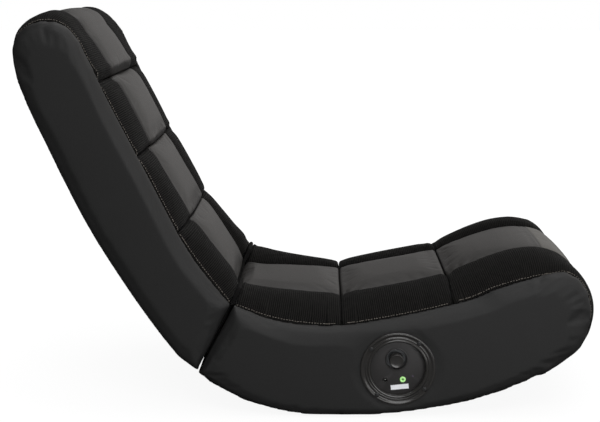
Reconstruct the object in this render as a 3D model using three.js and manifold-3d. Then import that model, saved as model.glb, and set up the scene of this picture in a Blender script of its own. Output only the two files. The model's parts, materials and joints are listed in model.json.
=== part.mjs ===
// A folding floor rocker chair with a control panel in the sitter's right side.
// Millimetres, +Z up, +X the way the sitter faces, +Y the sitter's left.
// The origin is the middle of the flat strip of the underside that rests on the floor.
import * as THREE from "three";
import { mergeVertices } from "three/addons/utils/BufferGeometryUtils.js";
import Module from "manifold-3d";

const wasm = await Module();
wasm.setup();

// The whole chair
const chairWidth = 430; // over the side covers
const seatDepth = 544; // hinge line to the front of the roll
const seatHeight = 242; // floor to the crown of the front bolsters
const backLength = 510; // hinge line to the top of the headrest
const backDepth = 142; // hinge line to the rear panel, at its deepest
const hingeSetback = 147; // hinge line behind the point of rest
const reclineDegrees = 119; // backrest from the floor, on the seat's side
const creaseDegrees = 62.9; // the plane where backrest and seat meet, from the floor
const restWidth = 44; // flat strip of the underside, along X
const frontLift = 72.5; // lower edge of the front roll above the floor
const rockRadiusRear = 286;
const clearance = 0.3; // between pieces that touch
const overrun = 20; // how far a cutter passes what it cuts

// Upholstery
const bandWidth = 98; // one mesh bolster, across
const coverRoll = 20; // from the sewn seam out to the flat of the side, across
const coverRollDrop = 14; // the same roll, seen from the side
const seatFoam = 45;
const noseFoam = 26;
const backFoam = 26;
const headFoam = 20;
const vinylCrown = 4;
const edgeTuck = 5; // how far a pad's long edge is drawn in
const seamTuck = 1.5;
const channelGap = 0.8;
const channelPinch = 11;
const channelRound = 20;
const creasePinch = 4;
const vinylSquareness = 4; // the higher, the flatter a pad's crown is across
const bandSquareness = 2.6;

// Boards and panels
const sideBoardWall = 9;
const deckWall = 12;
const frontBoardWall = 3;
const formerWall = 4;
const undersideWall = 7.7;
const rearPanelWall = 3;
const coverReturn = 8; // the cover's edge, turned in over the board
const seatFrontRailWall = 22;
const seatRearRailWall = 12;
const backRailWall = 9;
const bulkheadWall = 9;
const hemGap = 2; // between the underside panel and the wrap of the front roll
const creaseGap = 2; // between the two side covers
const lighteningWidth = 72;
const lighteningRib = 24; // board left between two windows
const lighteningCount = 4;

// Crease hinges
const hingeInset = 57; // from the sewn seam to the middle of a hinge
const hingeWidth = 60;
const leafWall = 2;
const leafMargin = 21; // from the end of a leaf to the underside
const knuckleRadius = 3;
const knuckleWidth = 19; // each of the two outer knuckles
const pinRadius = 1.4;
const pinHeadRadius = 2.3;
const pinHeadHeight = 1.2;
const padStandOff = 3.8; // pads stay this far from the crease plane, clear of the knuckles

// Control panel, centred at (panelX, panelZ) on the right side
const panelX = 94;
const panelZ = 78;
const bezelRadius = 56.5;
const bezelProud = 4;
const beadWidth = 2.4;
const beadHeight = 1.6;
const cupRadius = 48.2;
const cupDepth = 12.5;
const shoulderRadius = 41.5;
const shoulderDepth = 7;
const screwCircleRadius = 51;
const screwCircleDegrees = 7.4;
const screwHeadRadius = 3.4;
const screwHeadHeight = 1.4;
const screwShankRadius = 1.7;
const screwLength = 17;
const screwFloor = 1.9; // bezel wall left under a screw head
const plateWall = 4;
const plateRadius = 45.6;
const knobRecessRadius = 15.5;
const knobRecessDepth = 2;
const knobRadius = 11.25;
const knobHeight = 13;
const knobX = -2;
const knobZ = 12.5;
const knobWall = 2.4;
const knobDish = 0.8;
const knobTaper = 0.8;
const shaftRadius = 2.8;
const bushingRadius = 4.6;
const potRadius = 8.5;
const jackX = 8;
const jackZ = -19;
const jackRingRadius = 4.5;
const jackBoreRadius = 1.8;
const jackBarrelRadius = 3.2;
const dcX = -18.5;
const dcZ = -20;
const dcRingRadius = 4.2;
const dcBoreRadius = 2.8;
const dcPinRadius = 1;
const socketRingHeight = 1.2;
const ledX = 23;
const ledZ = -14;
const ledRadius = 1.5;

// Amplifier behind the control panel
const ampWidth = 92;
const ampHeight = 66;
const ampDepth = 58;

// Speakers behind the head bolsters
const speakerRadius = 36;
const speakerFlange = 2;
const speakerConeRadius = 31;
const speakerThroatRadius = 14;
const speakerConeDepth = 17;
const speakerBasket = 1.6;
const magnetRadius = 20;
const magnetHeight = 11;

// Facets and stations
const ringSides = 44; // round the control panel
const roundSides = 24; // round a speaker or the knob
const smallSides = 16; // round a pin, screw or socket
const rollSteps = 3; // from the seam to the flat of a side
const arcStations = 11; // along each arc of the underside
const coverStations = 30; // along a cover's sewn seam
const rearStations = 15; // down the rear panel
const headBoardStations = 3; // of the head's stations, those that the front board reaches
const windowSteps = 5;

// Lines of the upholstery seen from the side, as shares along and up
const seatVinylShares = [
  [0, 0.622], [0.031, 0.587], [0.096, 0.578], [0.215, 0.56], [0.307, 0.572], [0.426, 0.64], [0.546, 0.717],
  [0.619, 0.793], [0.711, 0.882], [0.803, 0.955], [0.866, 0.965], [0.908, 0.92], [0.95, 0.832], [0.982, 0.717],
  [1, 0.546], [0.993, 0.375], [0.967, 0.233], [0.921, 0.109], [0.862, 0],
];
const seatCrownShares = [
  [0, 0.71], [0.044, 0.672], [0.086, 0.635], [0.162, 0.59], [0.252, 0.558], [0.309, 0.565], [0.397, 0.614],
  [0.474, 0.664], [0.553, 0.723], [0.631, 0.805], [0.708, 0.9], [0.785, 0.982], [0.842, 1], [0.901, 0.979],
  [0.943, 0.912], [0.98, 0.782], [1.003, 0.622], [1.006, 0.469], [0.993, 0.322], [0.964, 0.198], [0.917, 0.091],
  [0.862, 0],
];
const seatSeamShares = [
  [-0.02, 0.605], [0.026, 0.543], [0.072, 0.481], [0.132, 0.434], [0.215, 0.407], [0.298, 0.413], [0.381, 0.454],
  [0.469, 0.51], [0.579, 0.593], [0.675, 0.681], [0.757, 0.776], [0.824, 0.847], [0.877, 0.876], [0.917, 0.858],
  [0.949, 0.782], [0.967, 0.676], [0.972, 0.552], [0.969, 0.428], [0.954, 0.298], [0.928, 0.186], [0.897, 0.091],
  [0.862, 0],
];
const seatChannelShares = [0.2855, 0.5868];
const backVinylShares = [
  [0, 0.067], [0.048, 0.066], [0.15, 0.085], [0.235, 0.106], [0.343, 0.12], [0.466, 0.118], [0.519, 0.088],
  [0.6, 0.07], [0.672, 0.063], [0.741, 0.064], [0.8, 0.062], [0.863, 0.076], [0.9, 0.092], [0.931, 0.127],
  [0.965, 0.218], [0.983, 0.331], [0.992, 0.465], [0.984, 0.599], [0.963, 0.711], [0.927, 0.796], [0.886, 0.849],
  [0.855, 0.87],
];
const backCrownShares = [
  [0, -0.01], [0.074, 0.012], [0.134, 0.056], [0.201, 0.092], [0.245, 0.11], [0.356, 0.113], [0.438, 0.113],
  [0.494, 0.113], [0.609, 0.096], [0.697, 0.086], [0.783, 0.077], [0.862, 0.085], [0.925, 0.12], [0.97, 0.19],
  [0.995, 0.303], [1, 0.437], [0.994, 0.585], [0.971, 0.711], [0.933, 0.803], [0.886, 0.856], [0.855, 0.872],
];
const backSeamShares = [
  [-0.024, 0.099], [0, 0.127], [0.031, 0.145], [0.088, 0.18], [0.147, 0.208], [0.216, 0.218], [0.314, 0.208],
  [0.435, 0.183], [0.573, 0.169], [0.69, 0.148], [0.784, 0.118], [0.859, 0.114], [0.896, 0.134], [0.927, 0.194],
  [0.953, 0.296], [0.967, 0.415], [0.969, 0.549], [0.955, 0.669], [0.925, 0.768], [0.886, 0.831], [0.855, 0.862],
];
const backRearShares = [
  [0.855, 0.87], [0.794, 0.898], [0.674, 0.93], [0.523, 0.975], [0.364, 1], [0.197, 0.979], [0.111, 0.958],
  [0.023, 0.926], [-0.068, 0.887], [-0.121, 0.838],
];
const backChannelShares = [0.2461, 0.4918, 0.7365];
const hingeHeightShare = 0.681; // of the rise from the roll's lower edge to its crown
const frontEdgeShare = 0.862; // lower edge of the front roll, along the seat
const speakerShare = 0.78; // a speaker's place up the backrest
const undersideRollShare = 0.35; // a cover's roll at the underside, of its roll at the seam
const rearRollShare = 0.45;
const headThinnestShare = 0.5; // where the head's foam is thinnest, along its wrap
const noseThinShare = 0.5; // where the nose's foam reaches its least depth
const domeShare = 0.7; // of a screw head's or lamp's radius, where its dome turns down
const mitreLimitShare = 0.5;

// Where a section's stations lie along it, closer where its ends round over
const stationShares = [0, 0.05, 0.13, 0.28, 0.5, 0.72, 0.87, 0.95, 1];
const wrapStationShares = [0, 0.03, 0.08, 0.16, 0.27, 0.38, 0.47, 0.55, 0.63, 0.71, 0.8, 0.9, 1];
const vinylAcrossShares = [0, 0.03, 0.1, 0.27, 0.5, 0.73, 0.9, 0.97, 1];
const bandAcrossShares = [0, 0.07, 0.2, 0.45, 0.72, 0.92, 1];

const halfWidth = chairWidth / 2;
const seamY = halfWidth - coverRoll;
const bandY = seamY - bandWidth;
const boardInnerY = seamY + clearance;
const boardOuterY = boardInnerY + sideBoardWall;

// The underside is flat where it rests, and rises along one arc to the front roll and another to the rear.
const frontEdge = new THREE.Vector2(frontEdgeShare * seatDepth - hingeSetback, frontLift);
const frontRun = frontEdge.x - restWidth / 2;
const rockRadiusFront = (frontRun * frontRun + frontLift * frontLift) / (2 * frontLift);

function arcHeight(x) {
  const radius = x > 0 ? rockRadiusFront : rockRadiusRear;
  const run = Math.max(0, Math.abs(x) - restWidth / 2);
  return radius - Math.sqrt(radius * radius - run * run);
}

const hingeHeight = THREE.MathUtils.lerp(frontLift, seatHeight, hingeHeightShare);
const hinge = new THREE.Vector2(-hingeSetback, hingeHeight);

function seatPoint([along, up]) {
  return new THREE.Vector2(hinge.x + along * seatDepth, THREE.MathUtils.lerp(frontLift, seatHeight, up));
}

// The backrest's own frame: x up the backrest from the hinge line, z from its face to its rear.
function backPoint([along, deep]) {
  return new THREE.Vector2(along * backLength, deep * backDepth);
}

// The crease plane runs down from the hinge line. normal points into the body that the plane bounds.
const crease = THREE.MathUtils.degToRad(creaseDegrees);
const seatCrease = {
  foot: hinge,
  down: new THREE.Vector2(-Math.cos(crease), -Math.sin(crease)),
  normal: new THREE.Vector2(Math.sin(crease), -Math.cos(crease)),
};
const backTurn = Math.PI + crease - THREE.MathUtils.degToRad(reclineDegrees);
const backCrease = {
  foot: new THREE.Vector2(0, 0),
  down: new THREE.Vector2(Math.cos(backTurn), Math.sin(backTurn)),
  normal: new THREE.Vector2(Math.sin(backTurn), -Math.cos(backTurn)),
};

function evenShares(count) {
  return Array.from({ length: count }, (_, i) => i / (count - 1));
}

function fromCrease(plane, point) {
  return point.clone().sub(plane.foot).dot(plane.normal);
}

function creasePoint(plane, off, down) {
  return plane.foot.clone().addScaledVector(plane.normal, off).addScaledVector(plane.down, down);
}

// Solids

function closed(geometry) {
  const plain = geometry.clone();
  plain.deleteAttribute("normal");
  plain.deleteAttribute("uv");
  const merged = mergeVertices(plain);
  const position = merged.attributes.position;
  const corners = [0, 1, 2].map(() => new THREE.Vector3());
  const faces = [];
  let volume = 0;
  for (let i = 0; i < merged.index.count; i += 3) {
    const face = [merged.index.getX(i), merged.index.getX(i + 1), merged.index.getX(i + 2)];
    if (new Set(face).size < 3) continue;
    face.forEach((v, k) => corners[k].fromBufferAttribute(position, v));
    volume += corners[0].dot(corners[1].cross(corners[2]));
    faces.push(face);
  }
  merged.setIndex(faces.flatMap((face) => (volume < 0 ? face.reverse() : face)));
  return merged;
}

function toManifold(geometry) {
  const shape = closed(geometry);
  return new wasm.Manifold(
    new wasm.Mesh({
      numProp: 3,
      vertProperties: new Float32Array(shape.attributes.position.array),
      triVerts: new Uint32Array(shape.index.array),
    }),
  );
}

function fromManifold(solid) {
  const mesh = solid.getMesh();
  return new THREE.BufferGeometry()
    .setAttribute("position", new THREE.BufferAttribute(mesh.vertProperties, mesh.numProp))
    .setIndex(new THREE.BufferAttribute(mesh.triVerts, 1));
}

function cut(geometry, ...cutters) {
  const left = cutters.reduce((solid, cutter) => solid.subtract(toManifold(cutter)), toManifold(geometry));
  return fromManifold(left);
}

function join(geometry, ...others) {
  return fromManifold(others.reduce((solid, other) => solid.add(toManifold(other)), toManifold(geometry)));
}

function common(geometry, other) {
  return fromManifold(toManifold(geometry).intersect(toManifold(other)));
}

// A loop in the XZ plane, extruded along Y.
function slab(loop, yLow, yHigh) {
  const settings = { depth: yHigh - yLow, bevelEnabled: false };
  const geometry = new THREE.ExtrudeGeometry(new THREE.Shape(loop), settings);
  return geometry.rotateX(Math.PI / 2).translate(0, yHigh, 0);
}

function rectangle(xLow, xHigh, zLow, zHigh) {
  return [
    new THREE.Vector2(xLow, zLow),
    new THREE.Vector2(xHigh, zLow),
    new THREE.Vector2(xHigh, zHigh),
    new THREE.Vector2(xLow, zHigh),
  ];
}

function strip(outer, inner, yLow, yHigh) {
  return slab([...outer, ...inner.slice().reverse()], yLow, yHigh);
}

// Lines and offsets

function lineThrough(points) {
  const curve = new THREE.CatmullRomCurve3(
    points.map((p) => new THREE.Vector3(p.x, p.y, 0)),
    false,
    "centripetal",
  );
  curve.arcLengthDivisions = 50 * points.length;
  const at = (share) => {
    const p = curve.getPointAt(THREE.MathUtils.clamp(share, 0, 1));
    return new THREE.Vector2(p.x, p.y);
  };
  // A point of the line moved inwards: side is 1 where inwards is to the right of the run.
  const within = (share, side, distance) => {
    const run = curve.getTangentAt(THREE.MathUtils.clamp(share, 0, 1));
    return at(share).add(new THREE.Vector2(run.y, -run.x).multiplyScalar(side * distance));
  };
  return { at, within, length: curve.getLength() };
}

// The share of a line's length at which a measure of its points passes zero.
function shareWhere(line, measure) {
  let low = 0;
  let high = 1;
  for (let step = 0; step < 40; step++) {
    const middle = (low + high) / 2;
    if (measure(line.at(middle)) < 0) low = middle;
    else high = middle;
  }
  return high;
}

// Points moved inwards by their own distances: side is 1 where inwards is to the right of the run.
function inset(points, side, distances) {
  return points.map((p, i) => {
    const before = points[Math.max(0, i - 1)];
    const after = points[Math.min(points.length - 1, i + 1)];
    const run = after.clone().sub(before).normalize();
    const inward = new THREE.Vector2(run.y, -run.x).multiplyScalar(side);
    return p.clone().addScaledVector(inward, distances[i]);
  });
}

// A closed loop moved inwards by its points' own distances, with its corners mitred.
function insetLoop(loop, side, distances) {
  const count = loop.length;
  return loop.map((p, i) => {
    const into = p.clone().sub(loop[(i + count - 1) % count]).normalize();
    const out = loop[(i + 1) % count].clone().sub(p).normalize();
    const first = new THREE.Vector2(into.y, -into.x).multiplyScalar(side);
    const second = new THREE.Vector2(out.y, -out.x).multiplyScalar(side);
    const middle = first.clone().add(second).normalize();
    return p.clone().addScaledVector(middle, distances[i] / Math.max(middle.dot(first), mitreLimitShare));
  });
}

// The sections of one body's upholstery: where each starts and ends on each of its three lines,
// and the stations along it. Foam depth is a share-wise blend from one end to the other.
function upholstery({ lines, plane, point, shares, side, names, foams }) {
  const channelAt = (share) => point([share, 0]).x;
  const edges = lines.map((line) => [
    shareWhere(line, (p) => fromCrease(plane, p) - padStandOff),
    ...shares.map((share) => shareWhere(line, (p) => p.x - channelAt(share))),
    1,
  ]);
  return names.map((name, k) => {
    const last = k === names.length - 1;
    const stations = last ? wrapStationShares : stationShares;
    const spots = lines.map((line, n) => {
      const halfGap = channelGap / 2 / line.length;
      const start = edges[n][k] + (k ? halfGap : 0);
      const end = edges[n][k + 1] - (last ? 0 : halfGap);
      return stations.map((share) => THREE.MathUtils.lerp(start, end, share));
    });
    const base = spots[0].map((spot, i) => lines[0].within(spot, side, foams[k](stations[i])));
    if (k === 0) base[0].x += (padStandOff - fromCrease(plane, base[0])) / plane.normal.x;
    return { name, lines, spots, side, base, atCrease: k === 0, last };
  });
}

// One line's points along a section, moved inwards by a distance that fades out where the section's
// last station is the wrap's end.
function along(section, n, distance) {
  return section.spots[n].map((spot, i) => {
    const fades = section.last && i === section.base.length - 1;
    return section.lines[n].within(spot, section.side, fades ? 0 : distance);
  });
}

// How far a pad's end rounds over, at each station of its own line.
function pinches(section, points) {
  const runs = points.map((p, i) => (i ? p.distanceTo(points[i - 1]) : 0));
  const total = runs.reduce((sum, run) => sum + run, 0);
  let walked = 0;
  return runs.map((run) => {
    walked += run;
    const round = (distance, depth) => {
      const missing = Math.max(0, 1 - distance / channelRound);
      return depth * (1 - Math.sqrt(1 - missing * missing));
    };
    const start = round(walked, section.atCrease ? creasePinch : channelPinch);
    return section.last ? start : Math.max(start, round(total - walked, channelPinch));
  });
}

// A stuffed pad: rows of points across its top, over a base that lies on its board.
function stuffed(rows, base) {
  const across = rows[0].length;
  const positions = [...rows.flat(), ...base.flat()].flatMap((p) => [p.x, p.y, p.z]);
  const top = (i, j) => i * across + j;
  const foot = (i, j) => rows.length * across + i * 2 + j;
  const faces = [];
  const quad = (a, b, c, d) => faces.push(a, b, c, a, c, d);
  for (let i = 0; i + 1 < rows.length; i++) {
    for (let j = 0; j + 1 < across; j++) quad(top(i, j), top(i + 1, j), top(i + 1, j + 1), top(i, j + 1));
    quad(foot(i, 0), foot(i, 1), foot(i + 1, 1), foot(i + 1, 0));
    quad(top(i, 0), foot(i, 0), foot(i + 1, 0), top(i + 1, 0));
    quad(top(i, across - 1), top(i + 1, across - 1), foot(i + 1, 1), foot(i, 1));
  }
  const end = rows.length - 1;
  for (let j = 0; j + 1 < across; j++) {
    faces.push(top(0, j), top(0, j + 1), foot(0, 0));
    faces.push(top(end, j + 1), top(end, j), foot(end, 0));
  }
  faces.push(top(0, across - 1), foot(0, 1), foot(0, 0));
  faces.push(top(end, across - 1), foot(end, 0), foot(end, 1));
  return new THREE.BufferGeometry()
    .setAttribute("position", new THREE.Float32BufferAttribute(positions, 3))
    .setIndex(faces);
}

const placed = (p, y) => new THREE.Vector3(p.x, y, p.y);
const fullness = (share, squareness) => Math.sqrt(1 - Math.pow(Math.abs(2 * share - 1), squareness));
const vinylAcross = { shares: vinylAcrossShares, squareness: vinylSquareness };
const bandAcross = { shares: bandAcrossShares, squareness: bandSquareness };

// One row of a pad's top, from its edge over its crown to its far edge, sunk towards its base by the pinch.
function crossRow(edge, crown, far, base, across, pinch, yFrom, yTo) {
  const sunk = pinch / crown.distanceTo(base);
  return across.shares.map((share) => {
    const straight = edge.clone().lerp(far, share);
    const rise = crown.clone().sub(edge.clone().lerp(far, 0.5));
    const point = straight.addScaledVector(rise, fullness(share, across.squareness)).lerp(base, sunk);
    return placed(point, THREE.MathUtils.lerp(yFrom, yTo, share));
  });
}

function vinylPad(section) {
  const tucked = along(section, 0, edgeTuck);
  const crowned = along(section, 0, -vinylCrown);
  const drop = pinches(section, along(section, 0, 0));
  const half = bandY - channelGap;
  const rows = tucked.map((edge, i) =>
    crossRow(edge, crowned[i], edge, section.base[i], vinylAcross, drop[i], -half, half),
  );
  return stuffed(rows, section.base.map((p) => [placed(p, -half), placed(p, half)]));
}

function bolster(section, hand) {
  const inner = along(section, 0, edgeTuck);
  const crown = along(section, 1, 0);
  const outer = along(section, 2, seamTuck);
  const drop = pinches(section, crown);
  const rows = inner.map((edge, i) =>
    crossRow(edge, crown[i], outer[i], section.base[i], bandAcross, drop[i], hand * bandY, hand * seamY),
  );
  return stuffed(rows, section.base.map((p) => [placed(p, hand * bandY), placed(p, hand * seamY)]));
}

// A side cover: its rim starts at the seam and rolls over to the flat of the side.
function rolledSide(loop, side, weights, hand) {
  const turns = evenShares(rollSteps + 1).map((share) => (share * Math.PI) / 2);
  const layers = turns.map((turn) => ({
    y: hand * (boardInnerY + (halfWidth - boardInnerY) * Math.sin(turn)),
    loop: insetLoop(loop, side, weights.map((weight) => weight * coverRollDrop * (1 - Math.cos(turn)))),
  }));
  const count = loop.length;
  const positions = layers.flatMap((layer) => layer.loop.flatMap((p) => [p.x, layer.y, p.y]));
  const faces = [];
  for (let k = 0; k + 1 < layers.length; k++) {
    for (let i = 0; i < count; i++) {
      const a = k * count + i;
      const b = k * count + ((i + 1) % count);
      faces.push(a, b, b + count, a, b + count, a + count);
    }
  }
  // The rim's cap runs against the loop and the flat's cap runs with it, whichever way the loop goes round.
  const capped = (k, along) => {
    const flat = layers[k].loop;
    const forward = THREE.ShapeUtils.area(flat) > 0;
    for (const corners of THREE.ShapeUtils.triangulateShape(flat, [])) {
      const same = THREE.ShapeUtils.area(corners.map((i) => flat[i])) > 0 === forward;
      const face = corners.map((i) => k * count + i);
      faces.push(...(same === along ? face : face.reverse()));
    }
  };
  capped(0, false);
  capped(layers.length - 1, true);
  return new THREE.BufferGeometry()
    .setAttribute("position", new THREE.Float32BufferAttribute(positions, 3))
    .setIndex(faces);
}

// Materials
function finish(color, roughness, metalness = 0) {
  return new THREE.MeshStandardMaterial({ color, roughness, metalness });
}

const vinylGrey = finish(0x47423f, 0.42);
const meshBlack = finish(0x1d1a18, 0.95);
const vinylBlack = finish(0x232222, 0.5);
const linerBlack = finish(0x1b1b1b, 0.95);
const plywood = finish(0xb08d5e, 0.8);
const plasticBlack = finish(0x18181a, 0.38);
const plasticSatin = finish(0x222224, 0.55);
const jackGreen = finish(0x5fc81e, 0.4);
const lampGrey = finish(0x777777, 0.3);
const blackSteel = finish(0x2a2a2c, 0.45, 1);
const brightSteel = finish(0x9a9a9c, 0.3, 1);
const castGrey = finish(0x8d8f91, 0.5, 1);

const chair = new THREE.Group();
const backrest = new THREE.Group();
backrest.position.set(hinge.x, 0, hinge.y);
backrest.rotation.y = -THREE.MathUtils.degToRad(reclineDegrees);
chair.add(backrest);

function add(group, name, geometry, material) {
  const mesh = new THREE.Mesh(closed(geometry), material);
  mesh.name = name;
  group.add(mesh);
  return mesh;
}

const hands = [
  ["right", -1],
  ["left", 1],
];

// Slabs on both sides of the centre plane are made from distances to that plane.
function sideSlab(loop, near, far, hand) {
  return slab(loop, Math.min(hand * near, hand * far), Math.max(hand * near, hand * far));
}

// Seat upholstery

const seatLines = [seatVinylShares, seatCrownShares, seatSeamShares].map((shares) =>
  lineThrough(shares.map(seatPoint)),
);
const seatSections = upholstery({
  lines: seatLines,
  plane: seatCrease,
  point: (share) => seatPoint(share),
  shares: seatChannelShares,
  side: 1,
  names: ["rear", "middle", "front"],
  foams: [
    () => seatFoam,
    () => seatFoam,
    (share) => THREE.MathUtils.lerp(seatFoam, noseFoam, Math.min(1, share / noseThinShare)),
  ],
});
for (const section of seatSections) {
  add(chair, `seat_pad_${section.name}`, vinylPad(section), vinylGrey);
  for (const [word, hand] of hands) {
    add(chair, `seat_bolster_${section.name}_${word}`, bolster(section, hand), meshBlack);
  }
}

// Seat structure

// The crease plane's seat side meets the rear arc at the crease foot.
const creaseLine = { at: (share) => creasePoint(seatCrease, creaseGap / 2, share * seatHeight) };
const creaseFoot = creaseLine.at(shareWhere(creaseLine, (p) => arcHeight(p.x) - p.y));
const creaseDepth = creaseFoot.clone().sub(hinge).dot(seatCrease.down);
const leafLength = creaseDepth - leafMargin;

function undersideTo(front) {
  const shares = evenShares(arcStations);
  const between = (low, high) => shares.map((share) => THREE.MathUtils.lerp(low, high, share));
  const stations = [...between(creaseFoot.x, -restWidth / 2), ...between(restWidth / 2, front)];
  return stations.map((x) => new THREE.Vector2(x, arcHeight(x)));
}

// Every point of an outline moved inwards, or outwards, by the same distance.
function shifted(points, side, distance) {
  return inset(points, side, points.map(() => distance));
}

function shrunk(loop, side, distance) {
  return insetLoop(loop, side, loop.map(() => distance));
}

// A line run on straight past both its ends.
function extended(points, distance) {
  const past = (end, next) => end.clone().addScaledVector(end.clone().sub(next).normalize(), distance);
  const last = points.length - 1;
  return [past(points[0], points[1]), ...points, past(points[last], points[last - 1])];
}

// The points of a cover's sewn seam, from its side of the crease gap to the line's end.
function seamRun(line, plane) {
  const start = shareWhere(line, (p) => fromCrease(plane, p) - creaseGap / 2);
  return evenShares(coverStations).map((share) => line.at(THREE.MathUtils.lerp(start, 1, share)));
}

const underside = undersideTo(frontEdge.x);
const seatTop = seamRun(seatLines[2], seatCrease);
const seatLoop = [...seatTop, ...underside.slice(0, -1).reverse()];
const seatWeights = seatLoop.map((_, i) => (i < seatTop.length - 1 ? 1 : undersideRollShare));
const seatBoardLoop = shrunk(seatLoop, 1, coverReturn);
const seatBoardHollow = shrunk(seatLoop, 1, coverReturn - clearance);

const panelBottom = undersideTo(frontEdge.x - hemGap);
const panelTop = shifted(panelBottom, -1, undersideWall);
add(chair, "underside_panel", strip(panelBottom, panelTop, -boardOuterY, boardOuterY), linerBlack);

const panelHollowTop = shifted(underside, -1, undersideWall + clearance);
const panelBelow = shifted(underside, -1, -overrun);
const panelHollow = [...extended(panelBelow, hemGap), ...extended(panelHollowTop, hemGap).reverse()];

function roundBar(radius, from, to, x, z, sides) {
  const bar = new THREE.CylinderGeometry(radius, radius, Math.abs(to - from), sides);
  return bar.translate(x, (from + to) / 2, z);
}

const panelFace = -halfWidth;
const throughSide = [panelFace - overrun, -boardInnerY + overrun];
const panelHole = roundBar(cupRadius + clearance, ...throughSide, panelX, panelZ, ringSides);
const screwSpots = [0, 1, 2, 3].map((k) => {
  const turn = THREE.MathUtils.degToRad(screwCircleDegrees + 45 + 90 * k);
  return [panelX + screwCircleRadius * Math.cos(turn), panelZ + screwCircleRadius * Math.sin(turn)];
});
const screwHoles = screwSpots.map(([x, z]) =>
  roundBar(screwShankRadius + clearance, ...throughSide, x, z, smallSides),
);

for (const [word, hand] of hands) {
  const board = cut(
    sideSlab(seatBoardLoop, boardInnerY, boardOuterY, hand),
    sideSlab(panelHollow, boardInnerY - overrun, boardOuterY + overrun, hand),
  );
  const cover = cut(
    rolledSide(seatLoop, 1, seatWeights, hand),
    sideSlab(seatBoardHollow, boardInnerY - overrun, boardOuterY + clearance, hand),
    sideSlab(panelHollow, boardInnerY - overrun, boardOuterY + clearance, hand),
  );
  const right = word === "right";
  add(chair, `seat_side_board_${word}`, right ? cut(board, panelHole, ...screwHoles) : board, plywood);
  add(chair, `seat_side_cover_${word}`, right ? cut(cover, panelHole, ...screwHoles) : cover, vinylBlack);
}

// A board lies a clearance under the pads' bases. behind is the line that what it hides keeps to.
function boardUnder(base, side, wall) {
  return {
    outer: shifted(base, side, clearance),
    inner: shifted(base, side, clearance + wall),
    behind: shifted(base, side, clearance + wall + clearance),
  };
}

function basesOf(sections) {
  return sections.flatMap((section) => section.base);
}

// The deck lies under all the pads and bends down behind the roll.
const deck = boardUnder(basesOf(seatSections), 1, deckWall);
add(chair, "seat_deck", strip(deck.outer, deck.inner, -seamY, seamY), plywood);

const deckClear = deck.behind;
const leafFace = clearance + leafWall + clearance;
const seatCavity = [
  creasePoint(seatCrease, leafFace, deckClear[0].clone().sub(hinge).dot(seatCrease.down)),
  ...deckClear,
  ...panelHollowTop.slice().reverse(),
];
const seatInside = slab(seatCavity, -seamY, seamY);

// A plank along the crease plane, cut to the space inside its body.
function creaseRail(plane, wall, inside) {
  const loop = [
    creasePoint(plane, leafFace, 0),
    creasePoint(plane, leafFace + wall, 0),
    creasePoint(plane, leafFace + wall, creaseDepth + overrun),
    creasePoint(plane, leafFace, creaseDepth + overrun),
  ];
  return common(slab(loop, -seamY, seamY), inside);
}

add(chair, "seat_rear_rail", creaseRail(seatCrease, seatRearRailWall, seatInside), plywood);
const deckEnd = deck.inner[deck.inner.length - 1];
const frontRail = slab(rectangle(deckEnd.x - seatFrontRailWall, deckEnd.x, 0, seatHeight), -seamY, seamY);
add(chair, "seat_front_rail", common(frontRail, seatInside), plywood);

const ampLoop = rectangle(
  panelX - ampWidth / 2,
  panelX + ampWidth / 2,
  panelZ - ampHeight / 2,
  panelZ + ampHeight / 2,
);
add(chair, "amplifier_box", common(slab(ampLoop, -seamY, -seamY + ampDepth), seatInside), castGrey);

// Control panel: depths are measured inwards from the flat of the side cover.

function turned(profile, x, z, sides) {
  const points = profile.map(([radius, depth]) => new THREE.Vector2(radius, panelFace + depth));
  return new THREE.LatheGeometry(points, sides).translate(x, 0, z);
}

const bezelFlat = bezelProud - beadHeight;
const bezelProfile = [
  [shoulderRadius, shoulderDepth],
  [shoulderRadius, -bezelFlat],
  [shoulderRadius + beadWidth / 2, -bezelProud],
  [shoulderRadius + beadWidth * 1.5, -bezelProud],
  [shoulderRadius + beadWidth * 2, -bezelFlat],
  [bezelRadius - beadWidth, -bezelFlat],
  [bezelRadius - beadWidth * 0.75, -bezelProud],
  [bezelRadius - beadWidth * 0.25, -bezelProud],
  [bezelRadius, -bezelFlat],
  [bezelRadius, -clearance],
  [cupRadius, -clearance],
  [cupRadius, cupDepth],
  [plateRadius + clearance, cupDepth],
  [plateRadius + clearance, shoulderDepth],
  [shoulderRadius, shoulderDepth],
];
const screwSeats = screwSpots.flatMap(([x, z]) => [
  roundBar(screwShankRadius + clearance, panelFace - overrun, panelFace + overrun, x, z, smallSides),
  roundBar(screwHeadRadius + clearance, panelFace - overrun, panelFace - screwFloor, x, z, smallSides),
]);
const bezelRing = turned(bezelProfile, panelX, panelZ, ringSides);
add(chair, "control_bezel", cut(bezelRing, ...screwSeats), plasticBlack);

screwSpots.forEach(([x, z], k) => {
  const seat = -screwFloor - clearance;
  const profile = [
    [0, seat - screwHeadHeight],
    [screwHeadRadius * domeShare, seat - screwHeadHeight],
    [screwHeadRadius, seat - screwHeadHeight / 2],
    [screwHeadRadius, seat],
    [screwShankRadius, seat],
    [screwShankRadius, seat + screwLength],
    [0, seat + screwLength],
  ];
  add(chair, `bezel_screw_${k + 1}`, turned(profile, x, z, smallSides), brightSteel);
});

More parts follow.
